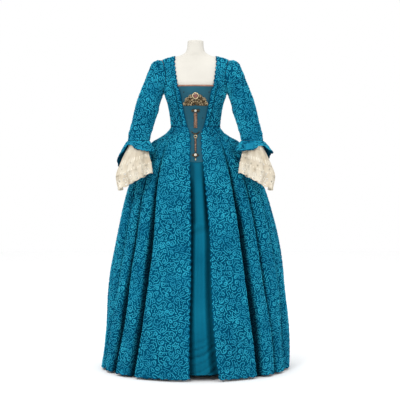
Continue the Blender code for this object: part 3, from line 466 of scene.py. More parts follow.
def cloth_finish(
    name, dark, light, roughness, pitch, depth, sheen, sheen_tint, scale=9.0, gloss=0.12, in_folds=0.0
):
    """A woven cloth: two tones in soft blotches, a thread bump at its own pitch, and a velvety sheen."""
    material, nodes, shader = tree(name, light, roughness)
    tone = blotches(nodes, coordinates(nodes, "Object"), scale)
    colour = ramp(nodes, tone, [(0.30, dark), (0.70, light)])
    if in_folds > 0:
        colour = darker_in_folds(nodes, colour, in_folds)
    nodes.links.new(colour, shader.inputs["Base Color"])
    bump(nodes, shader, threads(nodes, pitch), depth)
    shader.inputs["Specular IOR Level"].default_value = gloss
    shader.inputs["Specular Tint"].default_value = (*sheen_tint, 1)
    shader.inputs["Sheen Weight"].default_value = sheen
    shader.inputs["Sheen Roughness"].default_value = 0.45
    shader.inputs["Sheen Tint"].default_value = (*sheen_tint, 1)
    return material


TEAL_SHEEN = (0.03, 0.55, 0.85)
PALE_SHEEN = (1.0, 0.95, 0.85)
NET = cloth_finish(
    "dark teal net", (0.001, 0.050, 0.110), (0.002, 0.090, 0.175), roughness=0.62, pitch=0.0022,
    depth=0.0006, sheen=0.04, sheen_tint=TEAL_SHEEN, gloss=0.0, in_folds=FOLD_STRENGTH,
)
CORD = cloth_finish(
    "teal soutache cord", (0.012, 0.220, 0.360), (0.030, 0.415, 0.570), roughness=0.50, pitch=0.0012,
    depth=0.0003, sheen=0.08, sheen_tint=TEAL_SHEEN, scale=13.0, gloss=0.05, in_folds=FOLD_STRENGTH,
)
CREAM = cloth_finish(
    "cream lace", (0.56, 0.48, 0.36), (0.74, 0.68, 0.56), roughness=0.78, pitch=0.0014,
    depth=0.0004, sheen=0.06, sheen_tint=PALE_SHEEN, scale=22.0,
)
CREAM_THREAD = cloth_finish(
    "cream lace thread", (0.80, 0.74, 0.62), (0.90, 0.86, 0.77), roughness=0.70, pitch=0.0010,
    depth=0.0002, sheen=0.06, sheen_tint=PALE_SHEEN, scale=22.0,
)
JERSEY = cloth_finish(
    "form jersey", (0.52, 0.500, 0.455), (0.57, 0.550, 0.500), roughness=0.86, pitch=0.0013,
    depth=0.0002, sheen=0.03, sheen_tint=PALE_SHEEN, scale=6.0,
)
BINDING = cloth_finish(
    "copper satin binding", (0.20, 0.085, 0.055), (0.36, 0.175, 0.12), roughness=0.42, pitch=0.0010,
    depth=0.0002, sheen=0.05, sheen_tint=(1.0, 0.8, 0.65), scale=40.0, gloss=0.4,
)
print("cloths:", [cloth.name for cloth in (NET, CORD, CREAM, CREAM_THREAD, JERSEY, BINDING)])

# %% [markdown]
# ## Satin
# Satin has no pattern, so a fold shows only by its light and by painted shade in its colour. A mirror-like
# gloss would look like plastic.
# A low even gloss over slanting rumples, about as large as a hand, gives the broad soft lights of
# heavy satin. The stomacher's satin is greyer than the petticoat's, so the recipe is a function.


# %% Mix the satins
def satin(name, dark, light):
    """Smooth satin: a fine thread, and soft creases that run slantwise, in a low even gloss."""
    material, nodes, shader = tree(name, light, 0.46)
    tone = blotches(nodes, coordinates(nodes, "Object"), 5.0)
    colour = ramp(nodes, tone, [(0.25, dark), (0.75, light)])
    # Painted shade: a near-black teal is mixed in where the mesh's fold_shade is high.
    colour = darker_in_folds(nodes, colour, SATIN_FOLD_STRENGTH)
    nodes.links.new(colour, shader.inputs["Base Color"])
    creases = coordinates(nodes, "Object", (5.0, 3.0, 9.0))
    rumple = bump(nodes, shader, blotches(nodes, creases, 2.2, 4.0), 0.012, 0.5)
    bump(nodes, shader, threads(nodes, 0.0009), 0.00008, 1.0, rumple)
    shader.inputs["Specular IOR Level"].default_value = 0.30
    shader.inputs["Specular Tint"].default_value = (*TEAL_SHEEN, 1)
    shader.inputs["Sheen Weight"].default_value = 0.03
    shader.inputs["Sheen Tint"].default_value = (*TEAL_SHEEN, 1)
    return material


SATIN = satin("teal satin", (0.001, 0.070, 0.125), (0.003, 0.110, 0.180))
GREY_SATIN = satin("greyed teal satin", (0.009, 0.045, 0.070), (0.022, 0.076, 0.105))
print("satins:", SATIN.name, "and", GREY_SATIN.name)

# %% [markdown]
# ## Metal and stone
# Old brass is dark in its pits and worn bright on its bosses. One fine noise drives colour, gloss
# and bump together, so that a dark place is also a low one. A stone is a cloudy colour under a hard
# clear coat, which keeps its small highlight sharp.


# %% Mix the metals and stones
def metal(name, dark, bright, roughness):
    """Aged metal: dark in its pits and bright on its bosses, by fine noise, with a hammered bump."""
    material, nodes, shader = tree(name, bright, roughness, 0.95)
    where = coordinates(nodes, "Object")
    age = blotches(nodes, where, 190.0, 5.0)
    nodes.links.new(ramp(nodes, age, [(0.34, dark), (0.62, bright)]), shader.inputs["Base Color"])
    uneven = maths(nodes, "ADD", maths(nodes, "MULTIPLY", age, 0.3), roughness - 0.15)
    nodes.links.new(uneven, shader.inputs["Roughness"])
    bump(nodes, shader, age, 0.0006, 0.6)
    return material


BRASS = metal("aged brass", (0.008, 0.006, 0.005), (0.105, 0.075, 0.040), 0.46)
BRIGHT_BRASS = metal("worn brass wire", (0.130, 0.095, 0.055), (0.760, 0.620, 0.400), 0.34)
STEEL = metal("stand steel", (0.420, 0.420, 0.410), (0.600, 0.600, 0.590), 0.40)


def stone(name, deep, pale, clarity):
    """Polished stone: two tones in soft clouds under a hard clear coat."""
    material, nodes, shader = tree(name, deep, 0.16)
    cloud = blotches(nodes, coordinates(nodes, "Object"), 120.0)
    nodes.links.new(ramp(nodes, cloud, [(0.3, deep), (0.7, pale)]), shader.inputs["Base Color"])
    shader.inputs["Coat Weight"].default_value = clarity
    shader.inputs["Coat Roughness"].default_value = 0.05
    return material


GARNET = stone("dark red stone", (0.050, 0.006, 0.004), (0.160, 0.020, 0.012), 1.0)
PEARL = stone("pale stone", (0.28, 0.26, 0.22), (0.48, 0.45, 0.39), 0.6)
print("finishes so far:", len(bpy.data.materials))

# %% [markdown]
# ## The corded pattern
# The robe's lace is a net with narrow braid sewn on it in curls, leaves and rosettes. An image would
# flatten it, and a bump has no edge, so the braid is real: thin cords laid on the cloth along lines.
# The lines are drawn once, flat, as a repeating tile in metres, and every panel takes what it covers.
# The motifs and their layout are this model's own.

# %% Draw the motifs
TILE = (0.300, 0.312)
CORD_WIDTH = 0.0036
CORD_HEIGHT = 0.0016
LINE_STEP = 0.0042
ROSETTE = (0.0165, 5)
HEART = (0.0030, 0.0060, 0.95, 7)
LEAF = (0.0200, 0.0105)
LEAF_START = 0.0215
SCROLL = (0.060, 15, 185)
SCROLL_START = 0.0225
SPRIG_STRAY = 0.015
rng = np.random.default_rng(11)


def spiral(inner, outer, turns, count):
    """Radius grows from inner to outer as the angle runs through the turns."""
    share = np.linspace(0, 1, count)
    angle = 2 * math.pi * turns * share
    radius = inner + (outer - inner) * share
    return np.stack([radius * np.cos(angle), radius * np.sin(angle)], axis=1)


def rosette(radius, petals):
    """A closed looping edge: radius * (0.76 + 0.24 cos(petals * angle))."""
    angle = np.linspace(0, 2 * math.pi, petals * 7 + 1)
    reach = radius * (0.76 + 0.24 * np.cos(petals * angle))
    return np.stack([reach * np.cos(angle), reach * np.sin(angle)], axis=1)


def leaf(length, width):
    """Two arcs that meet at a point: across = width / 2 * sin(pi * share) on each side."""
    share = np.linspace(0, 1, 8)
    side = width / 2 * np.sin(math.pi * share)
    there = np.stack([length * share, side], axis=1)
    back = np.stack([length * share, -side], axis=1)[::-1]
    return np.concatenate([there, back[1:]])


def placed(line, middle, turn, flip=1):
    """A line turned, perhaps mirrored, and moved to its place."""
    cosine, sine = math.cos(turn), math.sin(turn)
    x, y = line[:, 0], line[:, 1] * flip
    return np.stack([x * cosine - y * sine, x * sine + y * cosine], axis=1) + middle


print("points of a rosette and a leaf:", len(rosette(*ROSETTE)), len(leaf(*LEAF)))

# %% [markdown]
# ## Filling one tile
# An embroiderer places the large motifs first and fills the ground between them. The same is done
# here. Four sprigs stand on a staggered grid, and ever shorter curls are then tried at random. A map
# of millimetre cells knows what is taken. It wraps round the tile's edges, so tiles join unseen, and
# the random numbers start from a fixed seed, so every run draws the same cloth.

# %% Lay out one tile
Fill = namedtuple("Fill", "length least start_bends end_bends tries")
FILLS = [
    Fill(0.090, 0.050, (-10, 40), (190, 250), 900),
    Fill(0.060, 0.030, (-90, 90), (-240, 240), 4000),
    Fill(0.036, 0.020, (-200, 200), (-280, 280), 8000),
    Fill(0.024, 0.013, (-260, 260), (-260, 260), 9000),
    Fill(0.0130, 0.008, (-150, 150), (-150, 150), 9000),
]
CELL = 0.001
CLEARANCE = 0.0055
reach = np.arange(-int(CLEARANCE / CELL), int(CLEARANCE / CELL) + 1)
DISC = np.stack(np.meshgrid(reach, reach), -1).reshape(-1, 2)
DISC = DISC[np.hypot(*DISC.T) * CELL < CLEARANCE]
taken = np.zeros((round(TILE[0] / CELL), round(TILE[1] / CELL)), bool)


def curl(length, start_bend, end_bend):
    """A line whose bend grows along it: heading = start * s + (end - start) * s^2 / (2 * length)."""
    run = np.arange(0, length, LINE_STEP)
    heading = start_bend * run + (end_bend - start_bend) * run**2 / (2 * length)
    steps = np.stack([np.cos(heading), np.sin(heading)], axis=1) * LINE_STEP
    return np.concatenate([[[0, 0]], steps[:-1]]).cumsum(axis=0)


def cells_of(line):
    """The tile's cell under each point: its place in millimetres, wrapped round."""
    return np.rint(line / CELL).astype(int) % taken.shape


def take(line):
    """Marks every millimetre cell that is nearer to the line than the clearance, round the tile's edges."""
    near = (cells_of(line)[:, None] + DISC[None]).reshape(-1, 2) % taken.shape
    taken[near[:, 0], near[:, 1]] = True
    return line


def sprig(middle, turn, flip):
    """A rosette with a curled heart, three leaves and two scrolls round it."""
    lines = [placed(rosette(*ROSETTE), middle, turn)]
    lines.append(placed(spiral(*HEART), middle, turn, flip))
    for way in turn + flip * np.array([0.62, 2.5, 4.4]):
        start = middle + LEAF_START * np.array([math.cos(way), math.sin(way)])
        lines.append(placed(leaf(*LEAF), start, way + 0.3 * flip))
    for way in turn + flip * np.array([1.55, 3.45]):
        start = middle + SCROLL_START * np.array([math.cos(way), math.sin(way)])
        lines.append(placed(curl(*SCROLL), start, way - 0.7 * flip, flip))
    return lines


def tile_lines():
    """Sprigs on a staggered grid, then long scrolls, short curls and rings wherever there is still room."""
    lines = []
    for row in range(2):
        for place in range(2):
            middle = np.array([(place + 0.5 * row + 0.2) * TILE[0] / 2, (row + 0.4) * TILE[1] / 2])
            middle += rng.uniform(-SPRIG_STRAY, SPRIG_STRAY, 2)
            lines += sprig(middle, rng.uniform(0, 2 * math.pi), rng.choice([-1, 1]))
    for line in lines:
        take(line)
    for fill in FILLS:
        for _ in range(fill.tries):
            shape = curl(fill.length, rng.uniform(*fill.start_bends), rng.uniform(*fill.end_bends))
            start = rng.uniform(0, 1, 2) * TILE
            line = placed(shape, start, rng.uniform(0, 2 * math.pi), rng.choice([-1, 1]))
            cells = cells_of(line)
            stopped = np.append(taken[cells[:, 0], cells[:, 1]], True)
            clear = int(np.argmax(stopped))
            if clear * LINE_STEP >= fill.least:
                lines.append(take(line[:clear]))
    return lines


PATTERN = tile_lines()
drawn_length = sum(np.linalg.norm(np.diff(line, axis=0), axis=1).sum() for line in PATTERN)
print(f"tile: {len(PATTERN)} lines, {drawn_length:.1f} m of cord, {sum(map(len, PATTERN))} points")

# %% [markdown]
# ## Laying the pattern on a panel
# Cloth can't stretch, so the flat pattern must follow a panel's own lengths: across by arc length
# from one edge, down by arc length from the top. The panel is measured once into an even grid of
# places, and every point of a line is then found in it by blending its four neighbours.


# %% Carry flat lines to a panel
def even_grid(grid, normals, step, shade=None):
    """Each row of a panel again at even arc lengths, so that a place across reads straight from it."""
    across, down = cloth_lengths(grid)
    width = across[:, -1]
    even = np.arange(0, width.max() + step, step)
    place = np.minimum(even[None, :], width[:, None])
    table = np.empty((len(grid), len(even), 7))
    shade = np.zeros(grid.shape[:2]) if shade is None else shade
    known = np.concatenate([grid, normals, shade[..., None]], axis=2)
    for row in range(len(grid)):
        for part in range(7):
            table[row, :, part] = np.interp(place[row], across[row], known[row, :, part])
    return table, width, down.mean(axis=1), step


def on_panel(place, table, width, down, step, edge):
    """Blends the four neighbours of each flat place. Places nearer an edge than this come back false."""
    row = np.interp(place[:, 1], down[::-1], np.arange(len(down))[::-1].astype(float))
    low = np.clip(row.astype(int), 0, len(down) - 2)
    up = (row - low)[:, None]
    column_at = np.clip(place[:, 0] / step, 0, table.shape[1] - 1.001)
    left = column_at.astype(int)
    over = (column_at - left)[:, None]
    below = table[low, left] * (1 - over) + table[low, left + 1] * over
    above = table[low + 1, left] * (1 - over) + table[low + 1, left + 1] * over
    mixed = below * (1 - up) + above * up
    room = width[low] * (1 - up[:, 0]) + width[low + 1] * up[:, 0]
    inside = (place[:, 0] > edge) & (place[:, 0] < room - edge)
    inside &= (place[:, 1] > edge) & (place[:, 1] < down[0] - edge)
    return mixed[:, :3], unit(mixed[:, 3:6]), mixed[:, 6], inside


def flat_copies(width, length):
    """The tile's lines repeated over a rectangle, as one array of places and one of line numbers."""
    tile = np.array(TILE)
    places = np.concatenate(PATTERN)
    numbers = np.repeat(np.arange(len(PATTERN)), [len(line) for line in PATTERN])
    shifts = [
        (i, j)
        for i in range(-1, int(width / TILE[0]) + 2)
        for j in range(-1, int(length / TILE[1]) + 2)
    ]
    everywhere = np.concatenate([places + np.array(shift) * tile for shift in shifts])
    which = np.concatenate([numbers + k * len(PATTERN) for k in range(len(shifts))])
    return everywhere, which


print("flat points over a panel of 0.5 x 1.2 m:", len(flat_copies(0.5, 1.2)[0]))

# %% [markdown]
# ## The cords themselves
# Braid is soft and round, but a round tube along every line of a skirt would cost millions of
# triangles. From a metre away, a three-sided rib with two feet on the cloth and a crest above looks
# the same. It takes the panel's fold_shade along, so that cord and net darken together.

# %% Raise a cord on every line
CORD_LIFT = 0.0001
CORD_SAMPLING = 0.004


def cord_mesh(name, where, normals, line, width, height, shade):
    """A three-sided rib along every line: two feet at half the width to either side, and a crest above."""
    joined = line[1:] == line[:-1]
    start = np.flatnonzero(joined)
    keep = np.zeros(len(where), bool)
    keep[start] = True
    keep[start + 1] = True
    after = np.arange(len(where))
    before = after.copy()
    after[:-1][joined] += 1
    before[1:][joined] -= 1
    along = unit(where[after] - where[before])
    side = unit(np.cross(normals, along)) * width / 2
    base = where + normals * CORD_LIFT
    ribs = np.stack([base - side, base + side, where + normals * (CORD_LIFT + height)], axis=1)
    a, b, c = (3 * start + k for k in range(3))
    d, e, f = (3 * (start + 1) + k for k in range(3))
    faces = np.concatenate([np.stack(q, 1) for q in ((a, c, f, d), (c, b, e, f), (b, a, d, e))])
    begins = keep & (before == np.arange(len(where)))
    ends = keep & (after == np.arange(len(where)))
    first = 3 * np.flatnonzero(begins)
    last = 3 * np.flatnonzero(ends)
    caps = np.concatenate([
        np.stack([first, first + 1, first + 2], 1),
        np.stack([last + 1, last, last + 2], 1),
    ])
    split = np.concatenate([halved(faces), caps])
    run = np.repeat(np.concatenate([[0], np.linalg.norm(np.diff(where, axis=0), axis=1)]).cumsum(), 3)
    uv = np.stack([run, np.tile([0, width, width / 2], len(where))], 1)
    return mesh_object(name, ribs.reshape(-1, 3), split, uv, shade=np.repeat(shade, 3))


def laid_lines(name, panel, place, which, edge, width, height):
    """Cords along flat lines that are carried to a measured panel, parted where a line leaves it."""
    where, directions, dark, inside = on_panel(place, *panel, edge)
    parted = (which[1:] != which[:-1]) | ~inside[1:] | ~inside[:-1]
    line = np.cumsum(np.concatenate([[True], parted]))
    where, directions, dark, line = (values[inside] for values in (where, directions, dark, line))
    return cord_mesh(name, where, directions, line, width, height, dark)


def cords_on(name, grid, normals, origin, shade=None):
    """The corded pattern over one panel, from an origin in the tile. Cords stop just short of its edges."""
    panel = even_grid(grid, normals, CORD_SAMPLING, shade)
    place, which = flat_copies(panel[1].max(), panel[2][0])
    place = place + np.array(origin) % np.array(TILE)
    made = laid_lines(name, panel, place, which, 0.4 * CORD_WIDTH, CORD_WIDTH, CORD_HEIGHT)
    dress(made, CORD, "corded_lace")
    print(f"{name}: {triangles(made)} triangles")
    return made


# %% [markdown]
# ## The skirt
# Eight panels hang from the waist seam, gathered into deep folds that run down to the hem. Simulated
# cloth would fall differently every time the settings change, so each fold is a dip in the ring,
# placed and sized by its row in the table. Two slow waves give the rolls between them some life,
# and the hem is cut in scallops.

# %% Folded skirt surface
FOLD_WIDE = 0.85
FOLD_NARROW = 1.20
NARROW_REACH = 1.5
FOLD_LEAN = 4.5
FULL_LEAN = 0.060
SHADE_BEFORE = 88.0
SHADE_BEHIND = 45.0
SHADE_SOFT = 0.9
SHADE_DEPTH = 0.015
GATHERED = 0.03
LOOSE_BELOW = 0.35
SWELL = 0.0035
RIPPLE = 0.0018
EDGE_SCALLOP = 0.027
EDGE_DEPTH = 0.0070
HEM_SCALLOP = 0.036
HEM_DEPTH = 0.008


def opening_angle(side, height):
    """The table's distance from the centre line, less a scallop: depth * |sin(pi * height / pitch)|."""
    scallop = EDGE_DEPTH * np.abs(np.sin(math.pi * height / EDGE_SCALLOP))
    from_centre = column(OPENING, side, height) - scallop * smoothstep((WAIST - height) / GATHERED)
    return np.degrees(np.arcsin(from_centre / column(ROBE_RINGS, side, height)))


def dip(distance):
    """How deep a fold is this many degrees from its line: a wide valley with a narrow crease in it."""
    valley = 1 - smoothstep(distance / FOLD_REACH)
    return FOLD_WIDE * valley + FOLD_NARROW * np.exp(-((distance / NARROW_REACH) ** 2))


def fold_values(side, height):
    """Angles of the opening and of every fold at these heights, and their depths."""
    folds = FOLDS[side]
    stations = (0.0, KNEE, WAIST)
    lines = [opening_angle(side, height)]
    lines += [smooth_curve(stations, (fold.hem, fold.knee, fold.waist), height) for fold in folds]
    stations = (0.0, KNEE, HIP, WAIST)
    depths = [np.zeros(np.shape(height))]
    depths += [
        smooth_curve(stations, (fold.deep_hem, fold.deep_knee, fold.deep_hip, 0.0), height) for fold in folds
    ]
    return np.stack(lines), np.stack(depths)


def fold_place(side, along, height):
    """The angle of a place, then the distance in degrees and the depth of the fold before and behind it."""
    along, height = np.broadcast_arrays(along, height)
    lines, depths = fold_values(side, height)
    roll = np.clip(np.floor(along).astype(int), 0, len(FOLDS[side]) - 1)
    share = along - roll

    def pick(values, which):
        """The value of each place's own fold."""
        return np.take_along_axis(values, which[None], 0)[0]

    span = pick(lines, roll + 1) - pick(lines, roll)
    angle = pick(lines, roll) + share * span
    return angle, share * span, pick(depths, roll), (1 - share) * span, pick(depths, roll + 1)


def fold_shade(side, along, height):
    """How much light the folds keep out: full from a fold's line to its reach, and none past a smooth end.

    The reach is a fold's depth times so many degrees for each metre. The folds lean towards the front,
    so the shade reaches further on the side that lies behind one.
    """
    _, before, depth_before, behind, depth_behind = fold_place(side, along, height)
    deep_before, deep_behind = (np.minimum(depth / SHADE_DEPTH, 1) for depth in (depth_before, depth_behind))
    dark = deep_before * smoothstep((SHADE_BEFORE * depth_before - before) / SHADE_SOFT + 0.5)
    dark += deep_behind * smoothstep((SHADE_BEHIND * depth_behind - behind) / SHADE_SOFT + 0.5)
    return np.minimum(dark, 1)


def skirt(side, along, height):
    """The robe's ring, moved in by each neighbouring fold as a smooth dip, with slow waves on top."""
    sign = SIDES[side]
    angle, before, depth_before, behind, depth_behind = fold_place(side, along, height)
    near = dip(before) * depth_before
    far = dip(behind) * depth_behind
    loose = smoothstep((WAIST - GATHERED - height) / LOOSE_BELOW)
    lean = FOLD_LEAN * loose * np.minimum((near + far) / FULL_LEAN, 1.2)
    angle = angle - lean * smoothstep((170 - angle) / 12)
    swell = SWELL * loose * np.sin(3.1 * along + 7.0 * height + 1.7 * sign)
    swell += RIPPLE * loose * np.sin(9.3 * along - 16.0 * height + sign)
    directions = outward(robe, sign * angle, height, ANGLE_STEP)
    inward = (near + far - swell)[..., None] * directions
    return robe(sign * angle, height) - inward * (1, 1, 0)


def skirt_normals(side, along, height):
    """Cross product of small steps over the folded surface itself, along the ring and up."""
    step, rise = 0.002, 0.001
    ahead = skirt(side, np.minimum(along + step, len(FOLDS[side])), height)
    behind = skirt(side, np.maximum(along - step, 0.0), height)
    up = skirt(side, along, height + rise) - skirt(side, along, height - rise)
    return unit(np.cross(SIDES[side] * (ahead - behind), up))


def panel_places(first, last, per_roll):
    """Places across a panel, closer together beside each fold: share = 0.5 - 0.5 cos(pi * t), softened."""
    t = np.linspace(0, 1, per_roll + 1)[:-1]
    share = 0.55 * (0.5 - 0.5 * np.cos(math.pi * t)) + 0.45 * t
    return np.concatenate([roll + share for roll in range(first, last)] + [[last]])


def scalloped(grid, depth, pitch):
    """Raises the bottom rows between scallops by |cos| of the arc length, fading out over the next rows."""
    across, _ = cloth_lengths(grid[:2])
    count = max(1, round(across[0, -1] / pitch))
    turn = math.pi * count * across[0] / across[0, -1]
    turn = turn + 0.5 * np.sin(0.31 * turn)
    rise = depth * (1 - np.abs(np.sin(turn)) ** 0.8) * (0.75 + 0.25 * np.cos(0.53 * turn))
    heights = grid[:, :, 2]
    fade = np.clip(1 - (heights - heights[0]) / 0.05, 0, 1)
    moved = grid.copy()
    moved[:, :, 2] += rise * fade
    return moved


edge_at_hem = skirt("right", np.array([0.0]), np.array([HEM]))
print("right edge of the opening at the hem:", edge_at_hem.round(3).tolist())

# %% [markdown]
# ## Cutting the skirt into panels
# Cloth is woven in narrow widths, so a full skirt is eight panels, each from one fold line to
# another, where a seam hides. The columns crowd beside each fold, where the surface turns quickly,
# and the rows crowd at the waist and the hem. A strip of seam gap is taken off each edge, and every
# panel starts elsewhere in the pattern's tile, so that neighbours don't repeat.

# %% Build the eight panels
LOW_ROWS = [HEM, 0.013, 0.020, 0.030, 0.044]
HIGH_ROWS = np.linspace(1.03, WAIST - SEAM_GAP / 2, 22)
FRONT_SKIRT_ROWS = np.concatenate([LOW_ROWS, np.linspace(0.05, 1.024, 178), HIGH_ROWS])
OTHER_SKIRT_ROWS = np.concatenate([LOW_ROWS, np.linspace(0.06, 1.02, 60), HIGH_ROWS])
FRONT_COLUMNS = (46, 24)
ROLL_COLUMNS = 26
for side, sign in SIDES.items():
    for part, (first, last) in PANEL_ENDS.items():
        if part == "front":
            first_roll = panel_places(0, 1, FRONT_COLUMNS[0])
            along = np.concatenate([first_roll[:-1], panel_places(1, 2, FRONT_COLUMNS[1])])
        else:
            along = panel_places(first, last, ROLL_COLUMNS)
        where, height = np.meshgrid(along, FRONT_SKIRT_ROWS if part == "front" else OTHER_SKIRT_ROWS)
        grid = skirt(side, where, height)
        normals = skirt_normals(side, where, height)
        shade = fold_shade(side, where, height)
        normals[-1] = unit(normals[-1] * (1, 1, 0))
        # Half a seam gap is taken off each side edge, along the row and level.
        edge = unit(np.gradient(grid, axis=1)) * (1, 1, 0) * SEAM_GAP / 2
        if first > 0:
            grid[:, 0] += edge[:, 0]
        grid[:, -1] -= edge[:, -1]
        if sign < 0:
            grid, normals, shade = grid[:, ::-1], normals[:, ::-1], shade[:, ::-1]
        grid = scalloped(grid, HEM_DEPTH, HEM_SCALLOP)
        name = f"skirt_{part}_{side}"
        wall = cloth_wall(f"{name}_net", grid, normals, ROBE_WALL, shade=shade)
        panel = dress(wall, NET, "corded_lace", name)
        origin = (0.07 * first, 0.0) if sign > 0 else (0.11 * first + 0.04, 0.05)
        # The pattern is laid from the opening's edge on both sides.
        opening_first = (slice(None), slice(None, None, sign))
        from_opening = (values[opening_first] for values in (grid, normals))
        cords = cords_on(f"{name}_cords", *from_opening, origin, shade[opening_first])
        declare(grid)

# %% [markdown]
# ## The bodice
# Two fronts and two backs follow the figure without a fold. Each row of a piece starts at the front
# edge, or at centre back, and ends at the side seam or at the armhole, an oval on the figure's side.
# The neck edge is cut in small scallops, as the corded cloth's own border would be.

# %% Cut the bodice
BodiceRow = namedtuple("BodiceRow", "edge edge_height turn side_height")
FRONT_ROWS = [
    BodiceRow(0.0385, WAIST, 180, WAIST),
    BodiceRow(0.0465, 1.167, 180, 1.167),
    BodiceRow(0.0555, 1.210, 180, 1.210),
    BodiceRow(0.0650, 1.255, 180, 1.252),
    BodiceRow(0.0680, 1.276, 180, 1.276),
    BodiceRow(0.0720, 1.296, 180, UNDERARM),
    BodiceRow(0.0795, 1.3125, 200, UNDERARM),
    BodiceRow(0.0868, 1.3250, 220, UNDERARM),
    BodiceRow(0.0895, 1.3430, 240, UNDERARM),
    BodiceRow(0.0925, 1.3660, 260, UNDERARM),
    BodiceRow(0.0960, 1.3920, 280, UNDERARM),
    BodiceRow(0.0990, 1.4180, 300, UNDERARM),
    BodiceRow(0.1005, 1.4400, 320, UNDERARM),
    BodiceRow(0.0995, 1.4565, 340, UNDERARM),
    BodiceRow(0.0978, 1.4640, 350, UNDERARM),
    BodiceRow(0.0960, NECK_POINT, 360, UNDERARM),
]
BACK_ROWS = [
    BodiceRow(180, WAIST, 180, WAIST),
    BodiceRow(180, 1.190, 180, 1.190),
    BodiceRow(180, 1.245, 180, 1.245),
    BodiceRow(180, UNDERARM, 180, UNDERARM),
    BodiceRow(180, 1.316, 160, UNDERARM),
    BodiceRow(180, 1.336, 140, UNDERARM),
    BodiceRow(180, 1.357, 120, UNDERARM),
    BodiceRow(180, 1.378, 100, UNDERARM),
    BodiceRow(180, 1.398, 80, UNDERARM),
    BodiceRow(180, 1.414, 60, UNDERARM),
    BodiceRow(180, 1.428, 50, UNDERARM),
    BodiceRow(170, 1.431, 40, UNDERARM),
    BodiceRow(153, 1.440, 30, UNDERARM),
    BodiceRow(136, 1.450, 20, UNDERARM),
    BodiceRow(113, 1.463, 10, UNDERARM),
    BodiceRow(90, NECK_POINT, 0, UNDERARM),
]
ARMHOLE_MIDDLE = (UNDERARM + SHOULDER_TIP) / 2
ARMHOLE_HALF_HEIGHT = (SHOULDER_TIP - UNDERARM) / 2
ARMHOLE_HALF_ANGLE = 29.0
UNDERARM_ROW = {"front": 5, "back": 3}
NECK_SCALLOP = 0.021
NECK_DEPTH = 0.0048
NECK_EDGE_FROM = 1.318
ROBING_WIDTH = 0.024
ROBING_LIFT = 0.0012
ROBING_TOP = 1.345
ROBING_STEP = 0.003
ROBING_SHADE = 0.85
ROBING_SHADE_WIDTH = 0.0035


def armhole(turn):
    """An oval in angle and height: 90 + half angle * sin(turn), middle + half height * cos(turn)."""
    turn = np.radians(turn)
    return 90 + ARMHOLE_HALF_ANGLE * np.sin(turn), ARMHOLE_MIDDLE + ARMHOLE_HALF_HEIGHT * np.cos(turn)


def bodice(part, per_row, columns):
    """Angle and height run from a row's inner end to its outer end, height by a smooth step."""
    rows = FRONT_ROWS if part == "front" else BACK_ROWS
    place = np.linspace(0, len(rows) - 1, (len(rows) - 1) * per_row + 1)
    edge, edge_height, turn, side_height = (
        np.interp(place, range(len(rows)), [row[k] for row in rows]) for k in range(4)
    )
    if part == "front":
        climb = np.concatenate([[0], np.hypot(np.diff(edge), np.diff(edge_height)).cumsum()])
        above = np.clip((edge_height - NECK_EDGE_FROM) / 0.01, 0, 1)
        above *= np.clip((NECK_POINT - edge_height) / 0.006, 0, 1)
        edge = edge - above * NECK_DEPTH * np.abs(np.sin(math.pi * climb / NECK_SCALLOP))
        edge = np.degrees(np.arcsin(np.minimum(edge / column(ROBE_RINGS, "right", edge_height), 1)))
    hole_angle, hole_height = armhole(turn)
    side = place <= UNDERARM_ROW[part]
    end = np.where(side, 90.0, hole_angle)
    end_height = np.where(side, side_height, hole_height)
    share = np.linspace(0, 1, columns)[None, :]
    angle = edge[:, None] + (end - edge)[:, None] * share
    height = edge_height[:, None] + (end_height - edge_height)[:, None] * smoothstep(share)
    return angle, height


def robing(grid, normals, from_edge):
    """A stitched-down band along the front edge: a step of its lift, with shade just past it."""
    low = smoothstep((ROBING_TOP - grid[..., 2]) / 0.025)
    band = smoothstep((ROBING_WIDTH - from_edge) / ROBING_STEP + 0.5)
    shade = np.exp(-(((from_edge - ROBING_WIDTH - 0.002) / ROBING_SHADE_WIDTH) ** 2))
    return grid + normals * (ROBING_LIFT * band * low)[..., None], ROBING_SHADE * shade * low


print("armhole height:", round(2 * ARMHOLE_HALF_HEIGHT, 3), "m")

# %% [markdown]
# ## The robings
# The fronts of such a robe are turned back and stitched down as flat bands beside the stomacher. A
# separate strip would need its own edge and seam, and from in front only its step shows. So the
# front piece's own surface steps up near its edge, with a line of shade just past the step.

# %% Build the four bodice pieces
for side, sign in SIDES.items():
    for part, per_row, columns in (("front", 12, 40), ("back", 6, 44)):
        angle, height = bodice(part, per_row, columns)
        toward_back = -1 if part == "front" else 1
        grid = robe(angle, height)
        normals = outward(robe, angle, height, ANGLE_STEP)
        grid[..., 1] += np.where(np.isclose(angle, 90.0), SEAM_GAP / 2 * toward_back, 0)
        grid[..., 0] += np.where(np.isclose(angle, 180.0), SEAM_GAP / 2, 0)
        grid[0, :, 2] += SEAM_GAP / 2
        normals[0] = unit(normals[0] * (1, 1, 0))
        if sign < 0:
            grid = grid * (-1, 1, 1)
            normals = normals * (-1, 1, 1)
        if sign * toward_back > 0:
            grid = grid[:, ::-1]
            normals = normals[:, ::-1]
        name = f"bodice_{part}_{side}"
        inward = (slice(None), slice(None, None, -1) if part == "front" and sign < 0 else slice(None))
        shade = np.zeros(grid.shape[:2])
        if part == "front":
            grid, shade = robing(grid, normals, cloth_lengths(grid[inward])[0][inward])
        wall = cloth_wall(f"{name}_net", grid, normals, ROBE_WALL, shade=shade)
        piece = dress(wall, NET, "corded_lace", name)
        origin = (0.02, 0.11 * (part == "back"))
        cords = cords_on(f"{name}_cords", grid[inward], normals[inward], origin, shade[inward])
        declare(grid)

# %% [markdown]
# ## Sleeves and ruffles
# A sleeve is a tube from the armhole to the elbow, leaning forward as a bent arm does. Its rings come
# from a table, and the last one lies along the armhole. Ease is worked in as long shallow creases
# near the elbow. The ruffle hangs from its end, long behind and arched up in front.

